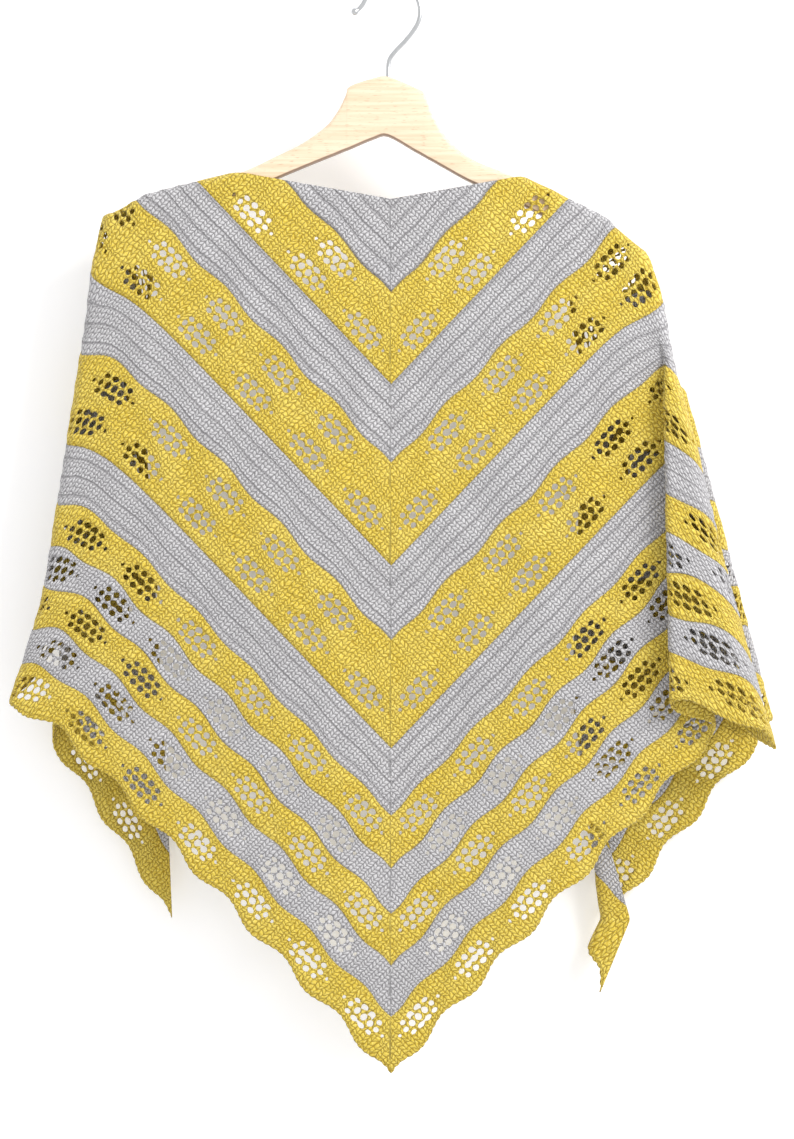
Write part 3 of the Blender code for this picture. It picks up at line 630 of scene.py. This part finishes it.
# %% Make one band
def build_cloth(number):
    """One band of crochet as a closed thin wall, and its count of faces a side."""
    sheet, place = both_halves(number)
    middle = np.stack(drape(place[:, 0], place[:, 1]), axis=-1)
    half = WALL_HALF + relief(number, place[:, 3], place[:, 5], place[:, 4])
    out = normals(place[:, 0], place[:, 1]) * half[:, None]
    name = "cloth_" + BANDS[number]["name"]
    mesh = bpy.data.meshes.new(name)
    points = np.concatenate([middle + out, middle - out])
    mesh.from_pydata(points.tolist(), [], wall_faces(sheet, len(place)))
    mesh.shade_smooth()
    write_layout(mesh, number, place)
    obj = bpy.data.objects.new(name, mesh)
    bpy.context.scene.collection.objects.link(obj)
    return obj, len(sheet)


print("ready to make", len(BANDS), "bands")

# %% [markdown]
# ## Sizes of the hanger
# The hanger is a flat shaped board with a full round top edge. Its neck block is thicker from top to
# bottom, and its arms run under the cloth. The hook is one bent wire with a small ball on its end.

# %% Sizes of the hanger
BOARD_HALF = 0.0055
# Stations of the board in the drawing: across, top edge and height
BOARD = [
    (246.0, 170.5, 23.0), (277.0, 156.0, 23.0), (303.0, 143.0, 25.0),
    (325.0, 127.0, 32.0), (334.0, 116.5, 39.0), (341.0, 105.0, 47.5),
    (346.0, 94.0, 56.5), (350.0, 86.0, 63.0), (374.0, 78.0, 61.0),
    (388.0, 76.5, 60.0), (414.0, 87.0, 64.0), (424.0, 92.5, 64.0),
    (428.0, 102.0, 57.0), (432.0, 113.0, 48.0), (447.0, 138.0, 31.5),
    (472.0, 159.0, 24.0), (508.0, 174.0, 24.0),
]
ARM_HIGH = 0.019
ARM_SHORT = 0.036
ARM_SINK = 0.006
ARM_STATIONS = 4
WIRE_R = 0.0020
# Points of the wire in the drawing: across and down
WIRE = [
    (388.0, 92.0), (388.0, 78.0), (389.0, 61.0), (395.5, 51.0), (405.0, 41.0),
    (413.0, 31.0), (418.5, 21.0), (420.0, 10.0), (417.0, -2.0), (409.5, -12.5),
    (401.0, -18.3), (391.0, -20.5), (381.0, -18.3), (372.5, -12.0), (366.5, -3.0),
    (362.5, 4.5), (357.5, 10.0), (351.0, 13.0),
]
WIRE_SIDES = 20
WIRE_END_R = 0.0032
print("stations of the board", len(BOARD), "points of the wire", len(WIRE))

# %% Helpers for lofted pieces
def curve_points(points, steps):
    """Round line through the points."""
    pts = [np.array(p) for p in points]
    pts = [2.0 * pts[0] - pts[1]] + pts + [2.0 * pts[-1] - pts[-2]]
    out = []
    for i in range(1, len(pts) - 2):
        for j in range(steps):
            t = j / steps
            a, b, c, d = pts[i - 1:i + 3]
            out.append(0.5 * (2.0 * b + (c - a) * t + (2.0 * a - 5.0 * b + 4.0 * c - d) * t * t
                              + (3.0 * b - a - 3.0 * c + d) * t ** 3))
    out.append(pts[-2])
    return out


def loft(rings):
    """Skin over rings of points, closed by a flat cap at each end."""
    verts = [p for ring in rings for p in ring]
    n = len(rings[0])
    faces = []
    for k in range(len(rings) - 1):
        for i in range(n):
            a = k * n + i
            b = k * n + (i + 1) % n
            faces.append((a, b, b + n))
            faces.append((a, b + n, a + n))
    for k, flip in ((0, False), (len(rings) - 1, True)):
        for i in range(1, n - 1):
            tri = (k * n, k * n + i + 1, k * n + i)
            faces.append(tuple(reversed(tri)) if flip else tri)
    return np.array(verts), faces


def arm_stations(side):
    """Top edge of the board under the cloth's crest, from the neck side outwards."""
    arm = arm_lean(side)
    length = math.hypot(side["crest"][0] - side["apex"][0], side["crest"][1] - side["apex"][1])
    base_z = -(NECK_DOWN - HOOK_TOP_DOWN) * UNIT
    out = []
    for i in range(ARM_STATIONS):
        away = length - 0.004 - (length - 0.004 - ARM_SHORT) * i / (ARM_STATIONS - 1.0)
        drop = math.pi / 2.0 * DEPTH_R
        x = side["apex"][0] + math.sin(arm) * away + math.cos(arm) * drop
        z = -side["apex"][1] - math.cos(arm) * away + math.sin(arm) * drop
        slant = abs(math.sin(arm))
        sink = ARM_SINK * (i / (ARM_STATIONS - 1.0)) ** 2
        top = base_z + z + BOARD_HALF * (1.0 + 1.0 / slant) / 2.0 - sink
        out.append((side["sign"] * x, top, ARM_HIGH / slant - sink))
    return out


def add_mesh(name, verts, faces, sharp=40.0):
    """New smooth piece with sharp edges past an angle in degrees."""
    mesh = bpy.data.meshes.new(name)
    mesh.from_pydata([tuple(p) for p in verts], [], [tuple(f) for f in faces])
    mesh.shade_smooth()
    mesh.set_sharp_from_angle(angle=math.radians(sharp))
    obj = bpy.data.objects.new(name, mesh)
    bpy.context.scene.collection.objects.link(obj)
    return obj


print("arm stations", len(arm_stations(LEFT)))

# %% [markdown]
# ## The hanger's board
# A loft through upright sections gives the board. The rings follow a round line through the stations,
# so the neck block flows into the arms, as a spindle cutter leaves it.

# %% Section of the board
EDGE_EASE = 0.0022
TOP_STEPS = 14
EASE_STEPS = 4


def fine_section(x, top, high, share):
    """Upright section of the board: round top edge and eased lower edges."""
    half = BOARD_HALF * share
    ring = []
    for i in range(TOP_STEPS + 1):
        a = math.pi * i / TOP_STEPS
        ring.append((x, -half * math.cos(a), top - half + half * math.sin(a)))
    low = top - high + EDGE_EASE
    for middle, start in ((half - EDGE_EASE, 0.0), (EDGE_EASE - half, math.pi / 2.0)):
        for i in range(EASE_STEPS + 1):
            a = start + math.pi / 2.0 * i / EASE_STEPS
            ring.append((x, middle + EDGE_EASE * math.cos(a), low - EDGE_EASE * math.sin(a)))
    return ring


print("points of a section", len(fine_section(0.0, 0.0, 0.02, 1.0)))

# %% The hanger's board
ARM_CLEAR = 0.006
stations = []
for across, down, high in BOARD:
    x, top = spot(across, down)
    stations.append((x, top, high * UNIT, 1.0))
first, last = stations[0][0], stations[-1][0]
for side in (LEFT, RIGHT):
    for k, (x, top, high) in enumerate(arm_stations(side)):
        if x < first - ARM_CLEAR or x > last + ARM_CLEAR:
            stations.append((x, top, high, 0.72 if k == ARM_STATIONS - 1 else 1.0))
stations.sort()
x, top, high, share = stations[0]
stations.insert(0, (x - 0.004, top - 0.005, high - 0.008, 0.50))
x, top, high, share = stations[-1]
stations.append((x + 0.004, top - 0.0075, high - 0.008, 0.50))
rings = [fine_section(*(float(a) for a in p)) for p in curve_points(stations, 4)]
board = add_mesh("hanger_board", *loft(rings), sharp=60.0)
print("board faces", len(board.data.polygons))

# %% [markdown]
# ## The hook
# A round line through the drawn points is swept with a circle. The last rings swell into the little
# ball that keeps the wire from snagging the cloth.

# %% The hook
wire_points = [spot(across, down) for across, down in WIRE]
wire_line = curve_points([np.array((x, 0.0, z)) for x, z in wire_points], 5)
depth = np.array((0.0, 1.0, 0.0))
rings = []
for k, p in enumerate(wire_line):
    way = wire_line[min(k + 1, len(wire_line) - 1)] - wire_line[max(k - 1, 0)]
    way = way / np.linalg.norm(way)
    across = np.array((way[2], 0.0, -way[0]))
    left_over = np.linalg.norm(wire_line[-1] - p)
    ball = max(WIRE_END_R ** 2 - (left_over - WIRE_END_R) ** 2, 0.0) ** 0.5
    radius = max(WIRE_R if left_over > WIRE_END_R else 0.0004, ball)
    ring = []
    for i in range(WIRE_SIDES):
        a = 2.0 * math.pi * i / WIRE_SIDES
        ring.append(tuple(p + radius * (math.cos(a) * across + math.sin(a) * depth)))
    rings.append(ring)
hook = add_mesh("hook_wire", *loft(rings), sharp=70.0)
print("hook faces", len(hook.data.polygons))

# %% [markdown]
# ## Shader helpers
# Materials here are built from small maths nodes. Three effects are shared by several materials, so
# each is a node group with named inputs and outputs: the stitches, the ridge lines, and the shade.

# %% Shader helpers
def plug(tree, value, socket):
    """Set a socket, or link it when the value is another node's output."""
    if isinstance(value, bpy.types.NodeSocket):
        tree.links.new(value, socket)
    else:
        socket.default_value = value


def calc(tree, operation, a, b=0.0):
    """One maths node."""
    node = tree.nodes.new("ShaderNodeMath")
    node.operation = operation
    plug(tree, a, node.inputs[0])
    plug(tree, b, node.inputs[1])
    return node.outputs[0]


def blend(tree, share, a, b):
    """Mix two colours; a share of one gives the second."""
    node = tree.nodes.new("ShaderNodeMix")
    node.data_type = "RGBA"
    plug(tree, share, node.inputs["Factor"])
    plug(tree, a, node.inputs[6])
    plug(tree, b, node.inputs[7])
    return node.outputs[2]


def noise(tree, place, scale, detail=2.0):
    """Soft random pattern."""
    node = tree.nodes.new("ShaderNodeTexNoise")
    plug(tree, place, node.inputs["Vector"])
    plug(tree, scale, node.inputs["Scale"])
    node.inputs["Detail"].default_value = detail
    return node


def soften(tree, value, low, high):
    """Nought below low, one above high, with a soft step between."""
    node = tree.nodes.new("ShaderNodeMapRange")
    node.interpolation_type = "SMOOTHSTEP"
    plug(tree, value, node.inputs["Value"])
    plug(tree, low, node.inputs["From Min"])
    plug(tree, high, node.inputs["From Max"])
    return node.outputs["Result"]


print("maths helpers ready")

# %% Helpers for groups and new materials
def new_group(name, inputs, outputs):
    """Empty node group with its sockets: the tree, what comes in, and what goes out."""
    tree = bpy.data.node_groups.new(name, "ShaderNodeTree")
    for label, kind, value in inputs:
        socket = tree.interface.new_socket(label, in_out="INPUT", socket_type=kind)
        if value is not None:
            socket.default_value = value
    for label, kind in outputs:
        tree.interface.new_socket(label, in_out="OUTPUT", socket_type=kind)
    return tree, tree.nodes.new("NodeGroupInput").outputs, tree.nodes.new("NodeGroupOutput").inputs


def place_group(tree, group, **values):
    """Put a group in a material; keyword names are the inputs' names with underscores."""
    node = tree.nodes.new("ShaderNodeGroup")
    node.node_tree = group
    for label, value in values.items():
        plug(tree, value, node.inputs[label.replace("_", " ")])
    return node


def new_material(name):
    """New material: itself, its node tree and its main shader."""
    mat = bpy.data.materials.new(name)
    mat.use_nodes = True
    return mat, mat.node_tree, mat.node_tree.nodes["Principled BSDF"]


def add_bump(tree, shader, height, strength, distance):
    """Let a height pattern tilt the shader's normals."""
    bump = tree.nodes.new("ShaderNodeBump")
    bump.inputs["Strength"].default_value = strength
    bump.inputs["Distance"].default_value = distance
    tree.links.new(height, bump.inputs["Height"])
    tree.links.new(bump.outputs["Normal"], shader.inputs["Normal"])


print("group and material helpers ready")

# %% [markdown]
# ## Group: crochet stitches
# A crochet row looks like a line of small leaning loops. The group tiles one loop along and across
# the stripe, leans it with the distance from the loop's middle, and rounds it like yarn. A little
# noise moves the tiles, because no hand works two stitches alike.

# %% Group: crochet stitches
VALUE = "NodeSocketFloat"
stitches, take, give = new_group(
    "Crochet stitches",
    [("Place", "NodeSocketVector", None), ("Stitch Width", VALUE, 4.4), ("Stitch Height", VALUE, 4.6),
     ("Lean", VALUE, 0.5), ("Wobble", VALUE, 1.0)],
    [("Height", VALUE), ("Gap", VALUE)])
drift = noise(stitches, take["Place"], 0.16, 2.0)
shift = stitches.nodes.new("ShaderNodeVectorMath")
shift.operation = "SUBTRACT"
stitches.links.new(drift.outputs["Color"], shift.inputs[0])
shift.inputs[1].default_value = (0.5, 0.5, 0.5)
grown = stitches.nodes.new("ShaderNodeVectorMath")
grown.operation = "SCALE"
stitches.links.new(shift.outputs[0], grown.inputs[0])
wobble = calc(stitches, "MULTIPLY", take["Wobble"], 3.0)
stitches.links.new(wobble, grown.inputs["Scale"])
moved = stitches.nodes.new("ShaderNodeVectorMath")
stitches.links.new(take["Place"], moved.inputs[0])
stitches.links.new(grown.outputs[0], moved.inputs[1])
apart = stitches.nodes.new("ShaderNodeSeparateXYZ")
stitches.links.new(moved.outputs[0], apart.inputs[0])
tile = calc(stitches, "FRACT", calc(stitches, "DIVIDE", apart.outputs["X"], take["Stitch Width"]))
side = calc(stitches, "ABSOLUTE", calc(stitches, "SUBTRACT", tile, 0.5))
side = calc(stitches, "MULTIPLY", side, 2.0)
lean = calc(stitches, "MULTIPLY", side, take["Lean"])
level = calc(stitches, "DIVIDE", apart.outputs["Y"], take["Stitch Height"])
turn = calc(stitches, "FRACT", calc(stitches, "ADD", level, lean))
strand = calc(stitches, "SINE", calc(stitches, "MULTIPLY", turn, math.pi))
strand = calc(stitches, "POWER", strand, 0.7)
outer = calc(stitches, "SUBTRACT", 1.0, calc(stitches, "POWER", side, 5.0))
middle = soften(stitches, side, -0.12, 0.30)
height = calc(stitches, "MULTIPLY", calc(stitches, "MULTIPLY", strand, outer), middle)
stitches.links.new(height, give["Height"])
stitches.links.new(calc(stitches, "SUBTRACT", 1.0, soften(stitches, height, 0.05, 0.62)), give["Gap"])
print("group", stitches.name, "nodes", len(stitches.nodes))

# %% [markdown]
# ## Group: ridge lines
# Where crochet rows are worked into one loop only, the other loop stays as a thin line with a gap
# beneath it, which the yarn material darkens with painted shade. The group gives such a line at even
# steps across the stripe, uneven along it.

# %% Group: ridge lines
ridges, take, give = new_group(
    "Ridge lines",
    [("Place", "NodeSocketVector", None), ("Period", VALUE, 9.8), ("Width", VALUE, 1.3)],
    [("Line", VALUE)])
drift = noise(ridges, take["Place"], 0.10, 2.0)
apart = ridges.nodes.new("ShaderNodeSeparateXYZ")
ridges.links.new(take["Place"], apart.inputs[0])
moved = calc(ridges, "ADD", apart.outputs["Y"], calc(ridges, "MULTIPLY", drift.outputs[0], 2.0))
phase = calc(ridges, "FRACT", calc(ridges, "DIVIDE", moved, take["Period"]))
away = calc(ridges, "ABSOLUTE", calc(ridges, "SUBTRACT", phase, 0.5))
away = calc(ridges, "MULTIPLY", away, take["Period"])
line = calc(ridges, "SUBTRACT", 1.0, soften(ridges, away, 0.0, take["Width"]))
ridges.links.new(line, give["Line"])
print("group", ridges.name, "nodes", len(ridges.nodes))

# %% [markdown]
# ## Group: yarn shade
# Wool-like yarn is never one colour. Fine fibres catch light, thicker lengths come out lighter or
# darker, and the gaps between loops are deep in shade. The group mixes three colours by those masks.

# %% Group: yarn shade
COLOUR = "NodeSocketColor"
shade, take, give = new_group(
    "Yarn shade",
    [("Place", "NodeSocketVector", None), ("Base", COLOUR, None), ("Deep", COLOUR, None),
     ("Light", COLOUR, None), ("Gap", VALUE, 0.0), ("Depth", VALUE, 0.75)],
    [("Color", COLOUR), ("Fibre", VALUE)])
fibre = noise(shade, take["Place"], 0.95, 4.0)
cloudy = noise(shade, take["Place"], 0.035, 2.0)
bright = blend(shade, soften(shade, fibre.outputs[0], 0.42, 0.72), take["Base"], take["Light"])
bright = blend(shade, calc(shade, "MULTIPLY", soften(shade, cloudy.outputs[0], 0.35, 0.75), 0.35),
               bright, take["Light"])
deep = calc(shade, "MULTIPLY", take["Gap"], take["Depth"])
shade.links.new(blend(shade, deep, bright, take["Deep"]), give["Color"])
shade.links.new(fibre.outputs[0], give["Fibre"])
print("group", shade.name, "nodes", len(shade.nodes))

# %% [markdown]
# ## Yarn materials
# Both yarns use the same three groups with their own values. The place on the cloth comes from its
# flat layout, in millimetres along and across the stripe, so stitches follow the rows and turn with
# the cloth at every fold. Sheen is a plain value on the shader, as fibres stand off the surface.

# %% Place on the cloth, and its masks
MM_PER_UV = 100.0


def cloth_place(tree):
    """Place on the flat cut in millimetres."""
    layout = tree.nodes.new("ShaderNodeUVMap")
    layout.uv_map = "cloth"
    scale = tree.nodes.new("ShaderNodeVectorMath")
    scale.operation = "SCALE"
    scale.inputs["Scale"].default_value = MM_PER_UV
    tree.links.new(layout.outputs[0], scale.inputs[0])
    return scale.outputs[0]


def mask(tree, name):
    """A value kept on the mesh's points."""
    node = tree.nodes.new("ShaderNodeAttribute")
    node.attribute_name = name
    return node.outputs["Fac"]


print("cloth place and masks ready")

# %% Yarn materials
def make_yarn(name, base, deep, light, stitch, ridge, ridge_depth):
    """Crochet in one colour of yarn; plain stripes have the deeper ridge lines."""
    mat, tree, shader = new_material(name)
    place = cloth_place(tree)
    loops = place_group(tree, stitches, Place=place, Stitch_Width=stitch[0], Stitch_Height=stitch[1],
                        Lean=stitch[2], Wobble=stitch[3])
    lines = place_group(tree, ridges, Place=place, Period=ridge[0], Width=ridge[1])
    # Painted shade: the ridge lines and a thin strip along both edges of each band, where the rows sink,
    # join the loop gaps, which the shade group darkens towards the deep colour.
    ridge_depth = calc(tree, "MULTIPLY", calc(tree, "ADD", mask(tree, "plain"), 0.25), ridge_depth)
    edge = calc(tree, "ABSOLUTE", calc(tree, "SUBTRACT", mask(tree, "share"), 0.5))
    edge = soften(tree, edge, 0.462, 0.50)
    line = calc(tree, "MAXIMUM", calc(tree, "MULTIPLY", lines.outputs["Line"], ridge_depth),
                calc(tree, "MULTIPLY", edge, 0.25))
    gap = calc(tree, "MAXIMUM", loops.outputs["Gap"], line)
    tint = place_group(tree, shade, Place=place, Base=base, Deep=deep, Light=light, Gap=gap, Depth=0.80)
    tree.links.new(tint.outputs["Color"], shader.inputs["Base Color"])
    shader.inputs["Roughness"].default_value = 0.92
    shader.inputs["Sheen Weight"].default_value = 0.18
    shader.inputs["Sheen Roughness"].default_value = 0.45
    shader.inputs["Specular IOR Level"].default_value = 0.20
    height = calc(tree, "SUBTRACT", loops.outputs["Height"], calc(tree, "MULTIPLY", line, 1.2))
    height = calc(tree, "ADD", height, calc(tree, "MULTIPLY", tint.outputs["Fibre"], 0.35))
    add_bump(tree, shader, height, 0.80, 0.0015)
    return mat


yellow = make_yarn("yellow yarn", (0.70, 0.51, 0.055, 1.0), (0.31, 0.18, 0.008, 1.0),
                   (0.93, 0.77, 0.20, 1.0), (6.8, 3.5, 0.60, 1.7), (8.8, 1.4), 1.3)
grey = make_yarn("grey yarn", (0.50, 0.49, 0.50, 1.0), (0.17, 0.16, 0.17, 1.0),
                 (0.76, 0.75, 0.76, 1.0), (6.2, 3.2, 0.55, 0.9), (11.6, 1.25), 0.62)
print("materials", yellow.name, "and", grey.name)

# %% [markdown]
# ## Wood and steel
# The board is pale beech: fine streaks run along it and short flecks lie between them. Faces that turn
# down are painted dark brown, a painted shade for the board's underside in its own shadow. The wire is
# bright steel with faint drawing marks, so its highlight is not perfectly clean.

# %% Wood
def object_place(tree, stretch):
    """Place on a piece, stretched by its own factor along each axis."""
    place = tree.nodes.new("ShaderNodeTexCoord")
    scale = tree.nodes.new("ShaderNodeMapping")
    scale.inputs["Scale"].default_value = stretch
    tree.links.new(place.outputs["Object"], scale.inputs["Vector"])
    return scale.outputs[0]


wood, tree, shader = new_material("pale wood")
streak = noise(tree, object_place(tree, (14.0, 160.0, 420.0)), 1.0, 4.0)
fleck = noise(tree, object_place(tree, (130.0, 900.0, 1400.0)), 1.0, 2.0)
colour = blend(tree, soften(tree, streak.outputs[0], 0.35, 0.68), (0.88, 0.72, 0.53, 1.0),
               (0.79, 0.60, 0.41, 1.0))
colour = blend(tree, soften(tree, fleck.outputs[0], 0.60, 0.72), colour, (0.60, 0.41, 0.26, 1.0))
# Painted shade: faces that point down in the world are darkened towards dark brown.
side_of = tree.nodes.new("ShaderNodeNewGeometry")
turned = tree.nodes.new("ShaderNodeSeparateXYZ")
tree.links.new(side_of.outputs["Normal"], turned.inputs[0])
under = soften(tree, calc(tree, "MULTIPLY", turned.outputs["Z"], -1.0), 0.20, 0.55)
colour = blend(tree, calc(tree, "MULTIPLY", under, 0.85), colour, (0.26, 0.15, 0.10, 1.0))
tree.links.new(colour, shader.inputs["Base Color"])
shader.inputs["Roughness"].default_value = 0.42
shader.inputs["Coat Weight"].default_value = 0.15
add_bump(tree, shader, streak.outputs[0], 0.25, 0.0004)
print("material", wood.name)

# %% Steel
steel, tree, shader = new_material("bright steel")
marks = noise(tree, object_place(tree, (300.0, 300.0, 300.0)), 1.0, 3.0)
tree.links.new(blend(tree, marks.outputs[0], (0.66, 0.67, 0.68, 1.0), (0.48, 0.49, 0.50, 1.0)),
               shader.inputs["Base Color"])
tree.links.new(calc(tree, "ADD", calc(tree, "MULTIPLY", marks.outputs[0], 0.18), 0.14),
               shader.inputs["Roughness"])
shader.inputs["Metallic"].default_value = 1.0
print("material", steel.name)

# %% [markdown]
# ## Dress the hanger
# The fine board and wire stand for their CAD solids, which stay in the physics model.

# %% Dress the hanger
for piece, mat, node, slot in ((board, wood, "hanger_body", "wood"),
                               (hook, steel, "hanger_hook", "steel")):
    piece.data.materials.append(mat)
    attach(piece, "root")
    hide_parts(node)
    print(piece.name, "stands for", node)

# %% [markdown]
# ## Make the cloth
# Every stripe becomes one thin closed wall in its yarn's material, and its CAD solid is hidden.

# %% Make the cloth
total = 0
for number, band in enumerate(BANDS):
    piece, faces = build_cloth(number)
    total += faces
    is_grey = "grey" in band["name"]
    piece.data.materials.append(grey if is_grey else yellow)
    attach(piece, "root")
    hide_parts(band["name"])
print("faces a side in all", total)

# %% [markdown]
# ## Floor, light and camera
# A pale floor lies far below, as under a rail, and a white wall stands close behind the cloth to
# take its soft shadow, as in the photo. The wall shows from the front only. A big soft light in
# front gives the low relief its shade, and a pale world fills the rest. The camera stands 2.2 m
# away, level with the middle of the cloth.

# %% Floor and wall
def make_stage(name, corners, colour, glow=0.0):
    """Plain flat piece that is clear from behind."""
    piece = add_mesh(name, corners, [(0, 1, 2, 3)])
    mat, tree, shader = new_material("pale " + name)
    shader.inputs["Base Color"].default_value = colour
    shader.inputs["Roughness"].default_value = 0.9
    shader.inputs["Specular IOR Level"].default_value = 0.1
    shader.inputs["Emission Color"].default_value = (0.98, 0.98, 1.0, 1.0)
    shader.inputs["Emission Strength"].default_value = glow
    clear = tree.nodes.new("ShaderNodeBsdfTransparent")
    face = tree.nodes.new("ShaderNodeNewGeometry")
    pick = tree.nodes.new("ShaderNodeMixShader")
    tree.links.new(face.outputs["Backfacing"], pick.inputs[0])
    tree.links.new(shader.outputs[0], pick.inputs[1])
    tree.links.new(clear.outputs[0], pick.inputs[2])
    tree.links.new(pick.outputs[0], tree.nodes["Material Output"].inputs["Surface"])
    piece.data.materials.append(mat)


WALL_BACK = 0.062
FLOOR = -2.1
ROOM = 3.0
make_stage("floor", [(-ROOM, -ROOM, FLOOR), (ROOM, -ROOM, FLOOR), (ROOM, ROOM, FLOOR),
                     (-ROOM, ROOM, FLOOR)], (0.85, 0.85, 0.85, 1.0))
make_stage("wall", [(-ROOM, WALL_BACK, FLOOR), (ROOM, WALL_BACK, FLOOR), (ROOM, WALL_BACK, 2.0),
                    (-ROOM, WALL_BACK, 2.0)], (0.90, 0.90, 0.91, 1.0), glow=0.24)
print("wall", WALL_BACK, "m behind the hook")

# %% Light
world = bpy.data.worlds.new("studio")
world.use_nodes = True
world.node_tree.nodes["Background"].inputs["Color"].default_value = (1.0, 1.0, 1.0, 1.0)
world.node_tree.nodes["Background"].inputs["Strength"].default_value = 0.95
bpy.context.scene.world = world
bpy.context.scene.view_settings.view_transform = "Standard"
LIT_SPOT = (0.0, 0.0, -0.45)


def add_light(name, place, size, watts):
    """Soft square light that faces the cloth."""
    lamp = bpy.data.lights.new(name, "AREA")
    lamp.size = size
    lamp.energy = watts
    obj = bpy.data.objects.new(name, lamp)
    obj.location = place
    way = np.array(LIT_SPOT) - np.array(place)
    obj.rotation_euler = (math.acos(-way[2] / np.linalg.norm(way)), 0.0,
                          math.atan2(way[1], way[0]) - math.pi / 2.0)
    bpy.context.scene.collection.objects.link(obj)


add_light("key", (1.5, -1.5, 0.75), 0.8, 38.0)
add_light("rim", (-1.3, 1.5, 0.6), 1.0, 10.0)

# %% Camera
DISTANCE = 2.2
FRAME_TALL = 1139.0
MIDDLE = (0.0048, 0.0, -0.474)
cam = bpy.data.cameras.new("front")
cam.sensor_fit = "VERTICAL"
cam.angle = 2.0 * math.atan(FRAME_TALL * UNIT / 2.0 / DISTANCE)
camera = bpy.data.objects.new("front", cam)
camera.location = (MIDDLE[0], -DISTANCE, MIDDLE[2])
camera.rotation_euler = (math.pi / 2.0, 0.0, 0.0)
bpy.context.scene.collection.objects.link(camera)
bpy.context.scene.camera = camera
print("camera", [round(a, 3) for a in camera.location])
